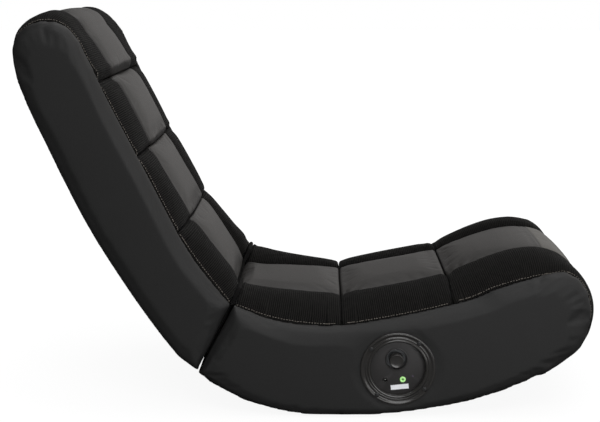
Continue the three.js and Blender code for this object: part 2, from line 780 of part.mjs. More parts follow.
const plateFace = shoulderDepth + clearance;
const plateBack = plateFace + plateWall;
const boxFace = coverRoll - clearance; // the amplifier box, as a depth
const knobSpot = [panelX + knobX, panelZ + knobZ];
const jackSpot = [panelX + jackX, panelZ + jackZ];
const dcSpot = [panelX + dcX, panelZ + dcZ];
const ledSpot = [panelX + ledX, panelZ + ledZ];
const dcBarrelRadius = dcBoreRadius + socketRingHeight / 2;
const plateHole = (radius, [x, z]) =>
  roundBar(radius + clearance, panelFace - overrun, panelFace + overrun, x, z, smallSides);
const plateProfile = [
  [0, plateFace],
  [plateRadius, plateFace],
  [plateRadius, plateBack],
  [0, plateBack],
];
const knobFloor = panelFace + plateFace + knobRecessDepth;
const plate = cut(
  turned(plateProfile, panelX, panelZ, ringSides),
  roundBar(knobRecessRadius, panelFace - overrun, knobFloor, ...knobSpot, roundSides),
  plateHole(bushingRadius, knobSpot),
  plateHole(jackBarrelRadius, jackSpot),
  plateHole(dcBarrelRadius, dcSpot),
  plateHole(ledRadius, ledSpot),
);
add(chair, "control_plate", plate, plasticSatin);

const bushingFace = plateFace + knobRecessDepth - clearance;
const knobBack = bushingFace - clearance;
const knobFront = knobBack - knobHeight;
const shaftSeat = shaftRadius + clearance;
add(
  chair,
  "volume_potentiometer",
  turned(
    [
      [0, boxFace - clearance],
      [potRadius, boxFace - clearance],
      [potRadius, plateBack + clearance],
      [bushingRadius, plateBack + clearance],
      [bushingRadius, bushingFace],
      [shaftSeat, bushingFace],
      [shaftSeat, boxFace - knobWall],
      [0, boxFace - knobWall],
    ],
    ...knobSpot,
    smallSides,
  ),
  blackSteel,
);
add(
  chair,
  "volume_shaft",
  turned(
    [
      [0, boxFace - knobWall - clearance],
      [shaftRadius, boxFace - knobWall - clearance],
      [shaftRadius, knobFront + knobWall + clearance],
      [0, knobFront + knobWall + clearance],
    ],
    ...knobSpot,
    smallSides,
  ),
  brightSteel,
);
add(
  chair,
  "volume_knob",
  turned(
    [
      [0, knobFront + knobDish],
      [knobRadius - knobTaper - knobWall, knobFront + knobDish / 2],
      [knobRadius - knobTaper - knobDish, knobFront],
      [knobRadius - knobTaper, knobFront + knobDish],
      [knobRadius, knobBack],
      [knobRadius - knobWall, knobBack],
      [knobRadius - knobWall, knobFront + knobHeight / 2],
      [shaftSeat + knobWall, knobFront + knobHeight / 2],
      [shaftSeat + knobWall, knobBack],
      [shaftSeat, knobBack],
      [shaftSeat, knobFront + knobWall],
      [0, knobFront + knobWall],
    ],
    ...knobSpot,
    roundSides,
  ),
  plasticBlack,
);

const ringBack = plateFace - clearance;
const socketBack = boxFace - clearance;
const socketFloor = socketBack - socketRingHeight;
add(
  chair,
  "line_in_jack",
  turned(
    [
      [0, socketFloor],
      [jackBoreRadius, socketFloor],
      [jackBoreRadius, ringBack - socketRingHeight],
      [jackRingRadius, ringBack - socketRingHeight],
      [jackRingRadius, ringBack],
      [jackBarrelRadius, ringBack],
      [jackBarrelRadius, socketBack],
      [0, socketBack],
    ],
    ...jackSpot,
    smallSides,
  ),
  jackGreen,
);
add(
  chair,
  "dc_power_jack",
  turned(
    [
      [0, ringBack],
      [dcPinRadius, ringBack],
      [dcPinRadius, socketFloor],
      [dcBoreRadius, socketFloor],
      [dcBoreRadius, ringBack - socketRingHeight],
      [dcRingRadius, ringBack - socketRingHeight],
      [dcRingRadius, ringBack],
      [dcBarrelRadius, ringBack],
      [dcBarrelRadius, socketBack],
      [0, socketBack],
    ],
    ...dcSpot,
    smallSides,
  ),
  plasticBlack,
);
add(
  chair,
  "status_led",
  turned(
    [
      [0, plateFace - ledRadius],
      [ledRadius * domeShare, plateFace - ledRadius * domeShare],
      [ledRadius, plateFace],
      [ledRadius, plateBack + clearance],
      [ledRadius * 1.5, plateBack + clearance],
      [ledRadius * 1.5, socketBack],
      [0, socketBack],
    ],
    ...ledSpot,
    smallSides,
  ),
  lampGrey,
);

// Backrest upholstery

const backLines = [backVinylShares, backCrownShares, backSeamShares].map((shares) =>
  lineThrough(shares.map(backPoint)),
);
const rearTuck = rearPanelWall + 2 * clearance;
const backSections = upholstery({
  lines: backLines,
  plane: backCrease,
  point: (share) => backPoint(share),
  shares: backChannelShares,
  side: -1,
  names: ["lower", "middle", "upper", "head"],
  foams: [
    () => backFoam,
    () => backFoam,
    () => backFoam,
    (share) =>
      share < headThinnestShare
        ? THREE.MathUtils.lerp(backFoam, headFoam, share / headThinnestShare)
        : THREE.MathUtils.lerp(headFoam, rearTuck, (share - headThinnestShare) / (1 - headThinnestShare)),
  ],
});
for (const section of backSections) {
  const head = section.name === "head";
  add(backrest, head ? "headrest_pad" : `back_pad_${section.name}`, vinylPad(section), vinylGrey);
  for (const [word, hand] of hands) {
    add(backrest, `back_bolster_${section.name}_${word}`, bolster(section, hand), meshBlack);
  }
}

// Backrest structure

// The rear outline runs down to the crease foot. Points that would crowd the foot are left out.
const backFoot = creasePoint(backCrease, creaseGap / 2, creaseDepth);
const rearPoints = backRearShares.map(backPoint).filter((p) => fromCrease(backCrease, p) > coverReturn);
const rearLine = lineThrough([...rearPoints, backFoot]);
const rearRun = evenShares(rearStations).map(rearLine.at);
const backTop = seamRun(backLines[2], backCrease);
const backLoop = [...backTop, ...rearRun.slice(1)];
const backWeights = backLoop.map((_, i) => (i < backTop.length - 1 ? 1 : rearRollShare));
const backBoardLoop = shrunk(backLoop, -1, coverReturn);
const backBoardHollow = shrunk(backLoop, -1, coverReturn - clearance);

// The rear panel starts a gap below the head's wrap.
const panelOutline = [rearLine.at(channelGap / rearLine.length), ...rearRun.slice(1)];
const rearPanel = strip(panelOutline, shifted(panelOutline, -1, rearPanelWall), -boardOuterY, boardOuterY);
add(backrest, "back_rear_panel", rearPanel, linerBlack);

const rearClear = shifted(rearRun, -1, rearPanelWall + clearance);
const rearHollow = [...shifted(rearRun, -1, -overrun), ...rearClear.slice().reverse()];

// Lightening windows in the side boards, up to the headrest
const windowSpan = (backChannelShares[2] * backLength) / lighteningCount;
const windows = Array.from({ length: lighteningCount }, (_, k) => {
  const shape = new THREE.Shape();
  shape.absellipse(
    (k + 0.5) * windowSpan,
    (backDepth + backFoam) / 2,
    (windowSpan - lighteningRib) / 2,
    lighteningWidth / 2,
    0,
    2 * Math.PI,
  );
  return shape.getPoints(windowSteps);
});

for (const [word, hand] of hands) {
  const board = cut(
    sideSlab(backBoardLoop, boardInnerY, boardOuterY, hand),
    sideSlab(rearHollow, boardInnerY - overrun, boardOuterY + overrun, hand),
    ...windows.map((loop) => sideSlab(loop, boardInnerY - overrun, boardOuterY + overrun, hand)),
  );
  const cover = cut(
    rolledSide(backLoop, -1, backWeights, hand),
    sideSlab(backBoardHollow, boardInnerY - overrun, boardOuterY + clearance, hand),
    sideSlab(rearHollow, boardInnerY - overrun, boardOuterY + clearance, hand),
  );
  add(backrest, `back_side_board_${word}`, board, plywood);
  add(backrest, `back_side_cover_${word}`, cover, vinylBlack);
}

// The front board lies under the pads and the former bends round under the headrest.
const backBase = basesOf(backSections);
const formerStart = backBase.length - wrapStationShares.length + headBoardStations + 1;
const frontBoard = boardUnder(backBase.slice(0, formerStart), -1, frontBoardWall);
const former = boardUnder(backBase.slice(formerStart), -1, formerWall);

const speakerAlong = speakerShare * backLength;
const besideSpeaker = frontBoard.behind.filter((p) => Math.abs(p.x - speakerAlong) < speakerRadius);
const speakerSeat = Math.max(...besideSpeaker.map((p) => p.y));
const speakerSpots = hands.map(([word, hand]) => [word, hand * (bandY + bandWidth / 2)]);

function speakerBar(radius, from, to, y, sides) {
  return new THREE.CylinderGeometry(radius, radius, to - from, sides)
    .rotateX(Math.PI / 2)
    .translate(speakerAlong, y, (from + to) / 2);
}

const boardBlank = strip(frontBoard.outer, frontBoard.inner, -seamY, seamY);
const speakerHoles = speakerSpots.map(([, y]) => speakerBar(speakerConeRadius, 0, backDepth, y, roundSides));
add(backrest, "back_front_board", cut(boardBlank, ...speakerHoles), plywood);
add(backrest, "head_former", strip(former.outer, former.inner, -seamY, seamY), plywood);

const backCavity = [
  creasePoint(backCrease, leafFace, frontBoard.behind[0].clone().dot(backCrease.down)),
  ...frontBoard.behind,
  ...former.behind,
  ...rearClear,
];
const backInside = slab(backCavity, -seamY, seamY);
add(backrest, "back_bottom_rail", creaseRail(backCrease, backRailWall, backInside), plywood);
const bulkheadAt = backChannelShares[1] * backLength;
const bulkhead = rectangle(bulkheadAt - bulkheadWall / 2, bulkheadAt + bulkheadWall / 2, 0, backDepth);
add(backrest, "back_middle_rail", common(slab(bulkhead, -seamY, seamY), backInside), plywood);

for (const [word, y] of speakerSpots) {
  const profile = [
    [0, speakerConeDepth],
    [speakerThroatRadius, speakerConeDepth],
    [speakerConeRadius, clearance],
    [speakerRadius, 0],
    [speakerRadius, speakerFlange],
    [speakerConeRadius, speakerFlange],
    [speakerThroatRadius + speakerBasket, speakerConeDepth + speakerBasket],
    [magnetRadius, speakerConeDepth + speakerBasket],
    [magnetRadius, speakerConeDepth + speakerBasket + magnetHeight],
    [0, speakerConeDepth + speakerBasket + magnetHeight],
  ].map(([radius, deep]) => new THREE.Vector2(radius, deep));
  const speaker = new THREE.LatheGeometry(profile, roundSides).rotateX(Math.PI / 2);
  add(backrest, `speaker_${word}`, speaker.translate(speakerAlong, y, speakerSeat), blackSteel);
}

// Crease hinges

function hingeLeaf(plane, middle, knuckles) {
  const bodySide = [clearance, clearance + leafWall];
  const plateTop = knuckleRadius + clearance * 3;
  const plank = (top, bottom, yLow, yHigh) =>
    slab(
      [
        creasePoint(plane, bodySide[0], top),
        creasePoint(plane, bodySide[1], top),
        creasePoint(plane, bodySide[1], bottom),
        creasePoint(plane, bodySide[0], bottom),
      ],
      yLow,
      yHigh,
    );
  let leaf = plank(plateTop, leafLength, middle - hingeWidth / 2, middle + hingeWidth / 2);
  for (const [low, high] of knuckles) {
    const barrel = roundBar(knuckleRadius, middle + low, middle + high, ...plane.foot, smallSides);
    leaf = join(leaf, plank(0, plateTop + leafWall, middle + low, middle + high), barrel);
  }
  const through = [middle - hingeWidth, middle + hingeWidth];
  const bore = roundBar(pinRadius + clearance, ...through, ...plane.foot, smallSides);
  return cut(leaf, bore);
}

const outerEdge = hingeWidth / 2;
const innerEdge = outerEdge - knuckleWidth;
for (const [word, hand] of hands) {
  const middle = hand * (seamY - hingeInset);
  const seatKnuckles = [
    [-outerEdge, -innerEdge],
    [innerEdge, outerEdge],
  ];
  const backKnuckles = [[-innerEdge + clearance, innerEdge - clearance]];
  add(chair, `hinge_seat_leaf_${word}`, hingeLeaf(seatCrease, middle, seatKnuckles), blackSteel);
  add(backrest, `hinge_back_leaf_${word}`, hingeLeaf(backCrease, middle, backKnuckles), blackSteel);
  const head = outerEdge + clearance;
  const pin = [
    [0, -head - pinHeadHeight],
    [pinHeadRadius, -head - pinHeadHeight],
    [pinHeadRadius, -head],
    [pinRadius, -head],
    [pinRadius, head],
    [pinHeadRadius, head],
    [pinHeadRadius, head + pinHeadHeight],
    [0, head + pinHeadHeight],
  ].map(([radius, y]) => new THREE.Vector2(radius, y));
  add(
    chair,
    `hinge_pin_${word}`,
    new THREE.LatheGeometry(pin, smallSides).translate(hinge.x, middle, hinge.y),
    brightSteel,
  );
}

export default chair;
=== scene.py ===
# %% [markdown]
# # A floor rocker for gaming
# The real chair has no feet: a padded seat whose curved underside rocks on the floor, and a padded back
# that folds down onto it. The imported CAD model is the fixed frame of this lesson, and gives the places
# and sizes. Blender's work is the soft forms, the sewing and the finishes. The frame comes first, and its
# box is kept, because what is made here should fill the same space.

# %% The frame
import json
import math

import bmesh
import bpy
import numpy as np
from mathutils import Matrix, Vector
from mathutils.bvhtree import BVHTree

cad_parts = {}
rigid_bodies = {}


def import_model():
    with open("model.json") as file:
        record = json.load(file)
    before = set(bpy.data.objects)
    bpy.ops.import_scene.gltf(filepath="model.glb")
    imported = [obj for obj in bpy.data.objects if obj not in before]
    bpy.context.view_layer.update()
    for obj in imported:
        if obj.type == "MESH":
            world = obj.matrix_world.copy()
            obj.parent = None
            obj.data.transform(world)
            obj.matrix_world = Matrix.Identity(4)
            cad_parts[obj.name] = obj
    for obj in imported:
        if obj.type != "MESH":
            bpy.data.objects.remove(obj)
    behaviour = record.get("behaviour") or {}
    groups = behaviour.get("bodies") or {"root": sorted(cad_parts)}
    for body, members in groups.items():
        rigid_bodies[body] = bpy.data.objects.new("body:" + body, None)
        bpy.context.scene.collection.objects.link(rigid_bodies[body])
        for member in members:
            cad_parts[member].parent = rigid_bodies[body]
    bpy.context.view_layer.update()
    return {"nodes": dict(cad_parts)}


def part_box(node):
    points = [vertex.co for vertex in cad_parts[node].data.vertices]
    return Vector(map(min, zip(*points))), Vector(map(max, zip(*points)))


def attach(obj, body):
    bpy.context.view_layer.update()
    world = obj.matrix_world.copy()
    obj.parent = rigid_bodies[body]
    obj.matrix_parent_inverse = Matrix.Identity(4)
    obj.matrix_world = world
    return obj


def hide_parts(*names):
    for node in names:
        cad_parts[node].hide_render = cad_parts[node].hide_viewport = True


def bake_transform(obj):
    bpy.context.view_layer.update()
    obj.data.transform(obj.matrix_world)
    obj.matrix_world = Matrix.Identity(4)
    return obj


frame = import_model()
scene = bpy.context.scene
MM = 0.001

# %% [markdown]
# ## Camera
# The photograph was taken from the chair's right, from about the height of the backrest's top, with a lens
# that is long enough to keep the side nearly flat. The place and tilt below were found by matching the
# chair's outline, its crease and its control panel, and the horizon stays level.

# %% The camera
camera = bpy.data.objects.new("camera", bpy.data.cameras.new("camera"))
scene.collection.objects.link(camera)
camera.data.lens = 73.75
camera.data.sensor_width = 36
camera.location = (-0.0230, -1.9895, 0.6479)
camera.rotation_euler = (math.radians(90 - 10.5155), 0, math.radians(0.972))
scene.camera = camera
scene.view_settings.view_transform = "Standard"
print(f"camera: {camera.data.lens} mm lens, {camera.location.length:.2f} m from the origin")

# %% [markdown]
# ## Light
# A dark chair needs large soft lights: a broad one overhead draws the soft sheen on the seat and the
# rolled edges, one above the camera lights the beads of the control panel, and weak ones beside the camera
# and in front of the chair keep the side and the nose readable. The background is white because the world
# is white where the camera looks at it, not because the chair gets more light.

# %% The lamps
def softbox(name, place, aim, width, height, watts):
    lamp = bpy.data.lights.new(name, "AREA")
    lamp.shape = "RECTANGLE"
    lamp.size, lamp.size_y, lamp.energy = width, height, watts
    holder = bpy.data.objects.new(name, lamp)
    scene.collection.objects.link(holder)
    holder.location = place
    holder.rotation_euler = (Vector(aim) - Vector(place)).to_track_quat("-Z", "Y").to_euler()


softbox("overhead", (0.3, 0.1, 2.3), (0.05, 0, 0.2), width=2.4, height=1.8, watts=24)
softbox("above_camera", (0.15, -1.8, 1.9), (0.1, -0.2, 0.1), width=1.8, height=0.8, watts=22)
softbox("beside_camera", (0.6, -2.0, 0.35), (0.1, 0, 0.1), width=1.2, height=0.8, watts=14)
softbox("front", (1.9, -0.9, 0.45), (0.3, 0, 0.2), width=0.9, height=0.7, watts=4)
print("lamps:", [lamp.name for lamp in bpy.data.lights])

# %% [markdown]
# ## Writing finishes as sums
# A finish is a network of nodes, and a network is slow to read. The small class below wraps a socket, so
# that `1 - mask` or `ribs * 0.5` adds the Math nodes by itself.

# %% Sockets that add up
class Wire:
    def __init__(self, finish, socket):
        self.finish = finish
        self.socket = socket

    def maths(self, operation, *values):
        return self.finish.node("ShaderNodeMath", {"operation": operation}, dict(enumerate(values)))

    def __add__(self, other):
        return self.maths("ADD", self, other)

    def __sub__(self, other):
        return self.maths("SUBTRACT", self, other)

    def __rsub__(self, other):
        return self.maths("SUBTRACT", other, self)

    def __mul__(self, other):
        return self.maths("MULTIPLY", self, other)

    __radd__ = __add__
    __rmul__ = __mul__

    def sine(self):
        return self.maths("SINE", self)

    def size(self):
        return self.maths("ABSOLUTE", self)

    def at_most(self, other):
        return self.maths("MINIMUM", self, other)

    def at_least(self, other):
        return self.maths("MAXIMUM", self, other)

    def below(self, other):
        return self.maths("LESS_THAN", self, other)


# %% [markdown]
# A network belongs to a world or to a material. Every node but Math comes from one method, which sets the
# node's own settings first and then its sockets. A finish is a material whose Principled shader takes its
# values by name, so that each finish below reads as a list of what the eye sees.

# %% Networks and finishes
class Network:
    def __init__(self, owner):
        owner.use_nodes = True
        self.tree = owner.node_tree

    def node(self, kind, settings=None, sockets=None, output=0):
        made = self.tree.nodes.new(kind)
        for name, value in (settings or {}).items():
            setattr(made, name, value)
        for name, value in (sockets or {}).items():
            self.connect(made.inputs[name], value)
        return Wire(self, made.outputs[output])

    def connect(self, socket, value):
        if isinstance(value, Wire):
            self.tree.links.new(value.socket, socket)
        else:
            socket.default_value = value

    def output(self, name):
        return Wire(self, self.tree.nodes[name].outputs[0])

    def place(self, kind="Object"):
        return self.node("ShaderNodeTexCoord", output=kind)

    def part(self, vector):
        split = self.node("ShaderNodeSeparateXYZ", sockets={0: vector})
        return [split] + [Wire(self, split.socket.node.outputs[k]) for k in (1, 2)]

    def noise(self, vector, scale, detail=2.0, roughness=0.5):
        return self.node(
            "ShaderNodeTexNoise",
            sockets={"Vector": vector, "Scale": scale, "Detail": detail, "Roughness": roughness},
        )

    def cell_edges(self, vector, scale):
        sockets = {"Vector": vector, "Scale": scale}
        return self.node("ShaderNodeTexVoronoi", {"feature": "DISTANCE_TO_EDGE"}, sockets, "Distance")

    def mix(self, mask, low, high):
        return self.node("ShaderNodeMix", {"data_type": "RGBA"}, {0: mask, 6: low, 7: high}, 2)

    def bump(self, height, depth, strength=1.0):
        sockets = {"Height": height, "Distance": depth, "Strength": strength}
        return self.node("ShaderNodeBump", sockets=sockets)


class Finish(Network):
    def __init__(self, name, **numbers):
        self.material = bpy.data.materials.new(name)
        super().__init__(self.material)
        self.shader = self.tree.nodes["Principled BSDF"]
        self.give(**numbers)

    def give(self, **sockets):
        for name, value in sockets.items():
            self.connect(self.shader.inputs[name.replace("_", " ")], value)


def colour(red, green, blue):
    """A colour as a picture program writes it, turned into the linear values that Blender mixes."""
    values = [v / 255 for v in (red, green, blue)]
    return [v / 12.92 if v <= 0.04045 else ((v + 0.055) / 1.055) ** 2.4 for v in values] + [1.0]


# %% [markdown]
# ## Floor and background
# The chair stands on a plain white floor. Seen by the camera, floor and world are white. What the vinyl
# mirrors is another matter: the studio is brightest past the front of the chair, less bright beyond its
# far side, and nearly dark on the camera's side. So the centre of the seat, seen at a low angle, turns
# grey while the side stays nearly black.

# %% The world and the floor
scene.world = bpy.data.worlds.new("studio")
studio = Network(scene.world)
away = studio.part(studio.place("Generated"))
mirrored_room = (away[1] * 0.30 + away[0] * 0.8 + away[2] * 0.10 + 0.15).at_most(1.0).at_least(0.04)
ambient = studio.node("ShaderNodeBackground", sockets={"Strength": 0.6})
mirrors = studio.node("ShaderNodeBackground", sockets={"Strength": mirrored_room})
paper = studio.node("ShaderNodeBackground", sockets={"Strength": 1.0})
for background, tint in ((ambient, (1, 1, 1)), (mirrors, (1, 0.975, 0.955)), (paper, (1, 1, 1))):
    background.socket.node.inputs["Color"].default_value = (*tint, 1)
rays = studio.node("ShaderNodeLightPath")
glossy, clear = (
    Wire(studio, rays.socket.node.outputs[f"Is {kind} Ray"]) for kind in ("Glossy", "Transmission")
)
seen = studio.node("ShaderNodeMixShader", sockets={0: glossy, 1: ambient, 2: mirrors})
seen = studio.node("ShaderNodeMixShader", sockets={0: (rays + clear).at_most(1.0), 1: seen, 2: paper})
studio.connect(studio.tree.nodes["World Output"].inputs["Surface"], seen)

bpy.ops.object.select_all(action="DESELECT")
bpy.ops.mesh.primitive_plane_add(size=30, location=(0, 0, 0))
floor = bpy.context.object
floor.name = "floor"
sheet = Finish("floor_paper", Base_Color=colour(84, 84, 84), Roughness=1.0, Specular_IOR_Level=0.0)
lit = sheet.output("Principled BSDF")
distance = sheet.node("ShaderNodeVectorMath", {"operation": "LENGTH"}, {0: sheet.place()}, "Value")
glow = sheet.node("ShaderNodeEmission", sockets={"Strength": (distance * 0.06 + 0.90).at_most(1.0)})
white = sheet.node("ShaderNodeAddShader", sockets={0: glow, 1: lit})
camera_ray = sheet.node("ShaderNodeLightPath", output="Is Camera Ray")
shown = sheet.node("ShaderNodeMixShader", sockets={0: camera_ray, 1: lit, 2: white})
sheet.connect(sheet.tree.nodes["Material Output"].inputs["Surface"], shown)
floor.data.materials.append(sheet.material)
print("floor:", round(floor.dimensions.x), "m wide")

# %% [markdown]
# ## Vinyl
# Upholstery vinyl has a pressed grain: small pebbles about a millimetre and a half across with creases
# between them. The creases come from the distance to the edge of Voronoi cells, and a slow noise lets the
# sheen wander, because a sheet that is pulled over foam is never evenly taut.

# %% The vinyls
def vinyl(name, light, dark, rough, pebble=1.5, depth=0.09):
    made = Finish(name, Specular_IOR_Level=0.36)
    spot = made.place()
    stir = made.node("ShaderNodeTexNoise", sockets={"Vector": spot, "Scale": 260.0}, output="Color")
    shift = made.node("ShaderNodeVectorMath", {"operation": "SCALE"}, {0: stir, "Scale": 0.9 * MM})
    warped = made.node("ShaderNodeVectorMath", {"operation": "ADD"}, {0: spot, 1: shift})
    crease = (made.cell_edges(warped, 1000 / pebble) * 3.2).at_most(1.0)
    pores = made.noise(spot, 2600.0, 1.0)
    drift = made.noise(spot, 11.0, 2.0)
    made.give(
        Base_Color=made.mix(drift * 0.5 + crease * 0.5, dark, light),
        Roughness=(drift - 0.5) * 0.06 + (1 - crease) * 0.08 + rough,
        Normal=made.bump(crease * 0.8 + pores * 0.2, depth * MM, 0.5),
    )
    return made


side_vinyl = vinyl("vinyl_black", colour(24, 24, 24), colour(19, 19, 19), 0.57)
print("finishes so far:", [m.name for m in bpy.data.materials if m.users])

# %% [markdown]
# The centre of the seat and back is a smoother vinyl whose colour is lighter than the side's, partly as
# painted sheen for the light that its tops catch. Past the cross seam on the front roll the colour is paler
# still, as painted sheen on the roll, so the finish reads a small mask that the pad carries.

# %% The grey vinyl
# The lighter base colour here is partly painted sheen.
centre_vinyl = vinyl("vinyl_grey", colour(38, 36, 35), colour(31, 30, 29), 0.42, pebble=1.3, depth=0.06)
painted_sheen_mask = centre_vinyl.node("ShaderNodeAttribute", {"attribute_name": "painted_sheen_past_seam"}, output="Fac")
seam_line = centre_vinyl.node("ShaderNodeAttribute", {"attribute_name": "seam_line"}, output="Fac")
plain = Wire(centre_vinyl, centre_vinyl.shader.inputs["Base Color"].links[0].from_socket)
# Past the cross seam the colour is painted paler, as sheen on the front roll.
with_painted_sheen = centre_vinyl.mix(painted_sheen_mask, plain, colour(66, 64, 60))
centre_vinyl.give(Base_Color=centre_vinyl.mix(seam_line, with_painted_sheen, colour(16, 15, 15)))
print("the grey vinyl takes", len(centre_vinyl.tree.nodes), "nodes")

# %% [markdown]
# ## Ribbed mesh
# The bolsters wear a knitted mesh: ribs about three millimetres apart that run across the strip, each a
# row of small loops. The ribs follow the cloth and not the room, so the pattern reads a UV map in metres:
# U runs along the chair and V across it.

# %% The mesh cloth
RIB, LOOP = 3.1 * MM, 1.9 * MM


def ribbed(name, ridge, valley):
    made = Finish(name, Specular_IOR_Level=0.032)
    made.give(Sheen_Weight=0.02, Sheen_Roughness=0.4)
    along, across, _ = made.part(made.place("UV"))
    slub = made.noise(made.place(), 90.0, 3.0)
    rib = ((along + slub * 0.0006) * (math.pi / RIB)).sine().size()
    stagger = (along * (math.pi / RIB)).sine().below(0.0) * (math.pi / 2)
    loop = (across * (math.pi / LOOP) + stagger).sine().size()
    knit = rib * (loop * 0.55 + 0.45)
    made.give(
        Base_Color=made.mix((knit * 1.25 - 0.2 + (slub - 0.5) * 0.5).at_most(1.0), valley, ridge),
        Roughness=0.82 - knit * 0.14,
        Normal=made.bump(knit, 0.55 * MM, 0.9),
    )
    return made


mesh_cloth = ribbed("mesh_black", colour(27, 26, 25), colour(4, 4, 4))
print("mesh cloth:", round(1 / RIB), "ribs and", round(1 / LOOP), "loops to a metre")

# %% [markdown]
# ## Lining, strip and thread
# The underside and the back are covered with thin lining cloth, felted and dull, and a black weave covers
# the hinges, its colour darkened to near black as painted shade for the crease. Two noises are enough for
# felt, a fine one for the fibres and a coarse one for the clumps. The thread's twist is a sine in slanting
# bands about a millimetre apart, so that a stitch under three millimetres long still shows it.

# %% The linings and the thread
lining = Finish("lining_black", Specular_IOR_Level=0.15)
spot = lining.place()
felt = lining.noise(spot, 900.0, 4.0, 0.7)
clumps = lining.noise(spot, 70.0, 4.0, 0.6)
lining.give(
    Base_Color=lining.mix(felt * 0.5 + clumps * 0.5, colour(12, 12, 11), colour(36, 34, 31)),
    Roughness=0.85 + felt * 0.1,
    Normal=lining.bump(felt * 0.6 + clumps * 0.4, 0.5 * MM, 0.8),
)

# The strip's near-black colour is partly painted shade for the crease.
crease_cloth = Finish("crease_cloth", Specular_IOR_Level=0.1, Roughness=0.9)
weave = crease_cloth.noise(crease_cloth.place(), 1500.0, 3.0, 0.6)
crease_cloth.give(
    Base_Color=crease_cloth.mix(weave, colour(6, 6, 6), colour(15, 14, 14)),
    Normal=crease_cloth.bump(weave, 0.2 * MM, 0.6),
)

thread = Finish("thread_brown", Specular_IOR_Level=0.3, Roughness=0.6)
TWISTS = 5200.0
twist = (thread.part(thread.place())[0] * TWISTS + thread.part(thread.place())[2] * TWISTS).sine()
thread.give(
    Base_Color=thread.mix(twist * 0.5 + 0.5, colour(80, 75, 69), colour(122, 116, 108)),
    Normal=thread.bump(twist, 0.08 * MM),
)
print("cloths and thread:", [made.material.name for made in (lining, crease_cloth, thread)])

# %% [markdown]
# ## Plastics
# The panel's plastics are moulded with a fine spark texture. A slow noise lets colour and gloss wander a
# little, because an even gloss looks like paint and not like plastic that hands have touched.

# %% The plastics
def moulded(name, light, dark, rough, spark=0.03):
    made = Finish(name, Specular_IOR_Level=0.45)
    spot = made.place()
    fine, slow = made.noise(spot, 3200.0, 2.0), made.noise(spot, 60.0, 3.0)
    made.give(
        Base_Color=made.mix(slow, dark, light),
        Roughness=(slow - 0.5) * 0.12 + (fine - 0.5) * 0.1 + rough,
        Normal=made.bump(fine, spark * MM, 0.5),
    )
    return made


bezel_plastic = moulded("plastic_black", colour(43, 42, 41), colour(37, 36, 35), 0.22)
plate_plastic = moulded("plastic_satin", colour(39, 37, 37), colour(34, 33, 33), 0.5, 0.05)
socket_green = moulded("jack_green", colour(200, 252, 172), colour(170, 240, 138), 0.35, 0.01)
lamp_lens = moulded("lamp_grey", colour(92, 84, 98), colour(70, 62, 76), 0.15, 0.005)
blank_label = moulded("label_white", colour(236, 237, 240), colour(206, 208, 214), 0.5, 0.01)
print("plastics:", [made.material.name for made in (bezel_plastic, plate_plastic, socket_green)])

# %% [markdown]
# ## Metals and the board
# Steel is painted or bright. The boards are plywood whose colour is darkened to near black as painted
# shade, so that nothing pale shows between the cushions. The grain is a noise that a Mapping node draws out
# along one axis. At the end the CAD nodes change their plain materials for these finishes.

# %% The metals and the board
def metal(name, light, dark, rough, metallic=1.0):
    made = Finish(name, Metallic=metallic)
    spot = made.place()
    streak, slow = made.noise(spot, 1400.0, 3.0), made.noise(spot, 45.0, 4.0)
    made.give(
        Base_Color=made.mix(slow, dark, light),
        Roughness=(slow - 0.5) * 0.2 + (streak - 0.5) * 0.12 + rough,
        Normal=made.bump(streak, 0.02 * MM, 0.4),
    )
    return made


painted_steel = metal("steel_black", colour(44, 44, 45), colour(30, 30, 31), 0.42, 0.2)
bright_steel = metal("steel_bright", colour(196, 196, 194), colour(150, 150, 150), 0.28)
cast_housing = metal("cast_grey", colour(120, 122, 124), colour(92, 94, 96), 0.55, 0.5)

# The plywood is darkened to near black as painted shade for the gaps between the cushions.
board = Finish("plywood", Specular_IOR_Level=0.25)
_, through, _ = board.part(board.place())
rings = (through * 700.0 + board.noise(board.place(), 9.0, 3.0) * 6.0).sine() * 0.5 + 0.5
drawn_out = board.node("ShaderNodeMapping", sockets={"Vector": board.place(), "Scale": (30, 300, 300)})
fibre = board.noise(drawn_out, 2.0, 5.0)
board.give(
    Base_Color=board.mix(rings * 0.45 + fibre * 0.55, colour(24, 21, 19), colour(46, 40, 35)),
    Roughness=0.7 - fibre * 0.12,
    Normal=board.bump(fibre, 0.15 * MM, 0.6),
)
FINISHES = {
    "vinyl_black": side_vinyl, "vinyl_grey": centre_vinyl, "mesh_black": mesh_cloth, "liner_black": lining,
    "plastic_black": bezel_plastic, "plastic_satin": plate_plastic, "jack_green": socket_green,
    "lamp_grey": lamp_lens, "steel_black": painted_steel, "steel_bright": bright_steel,
    "cast_grey": cast_housing, "plywood": board,
}
for node in frame["nodes"].values():
    for holder in node.material_slots:
        holder.material = FINISHES[holder.material.name.split(".")[0]].material
print(len(FINISHES), "finishes on", len(frame["nodes"]), "nodes")

# %% [markdown]
# ## Starting a cushion
# Each cushion starts as a copy of its CAD solid, so it is sure to fit between its neighbours. The copy is
# welded, its sharp rims are held by creases while subdivision rounds the rest, and a voxel remesh gives it
# the even mesh that cloth needs. It is drawn in a little, because stuffing swells it again.

# %% Copy, weld, round, remesh
WELD = 1e-5


def alone(piece):
    bpy.ops.object.select_all(action="DESELECT")
    piece.select_set(True)
    bpy.context.view_layer.objects.active = piece


def apply_all(piece):
    alone(piece)
    for modifier in list(piece.modifiers):
        bpy.ops.object.modifier_apply(modifier=modifier.name)


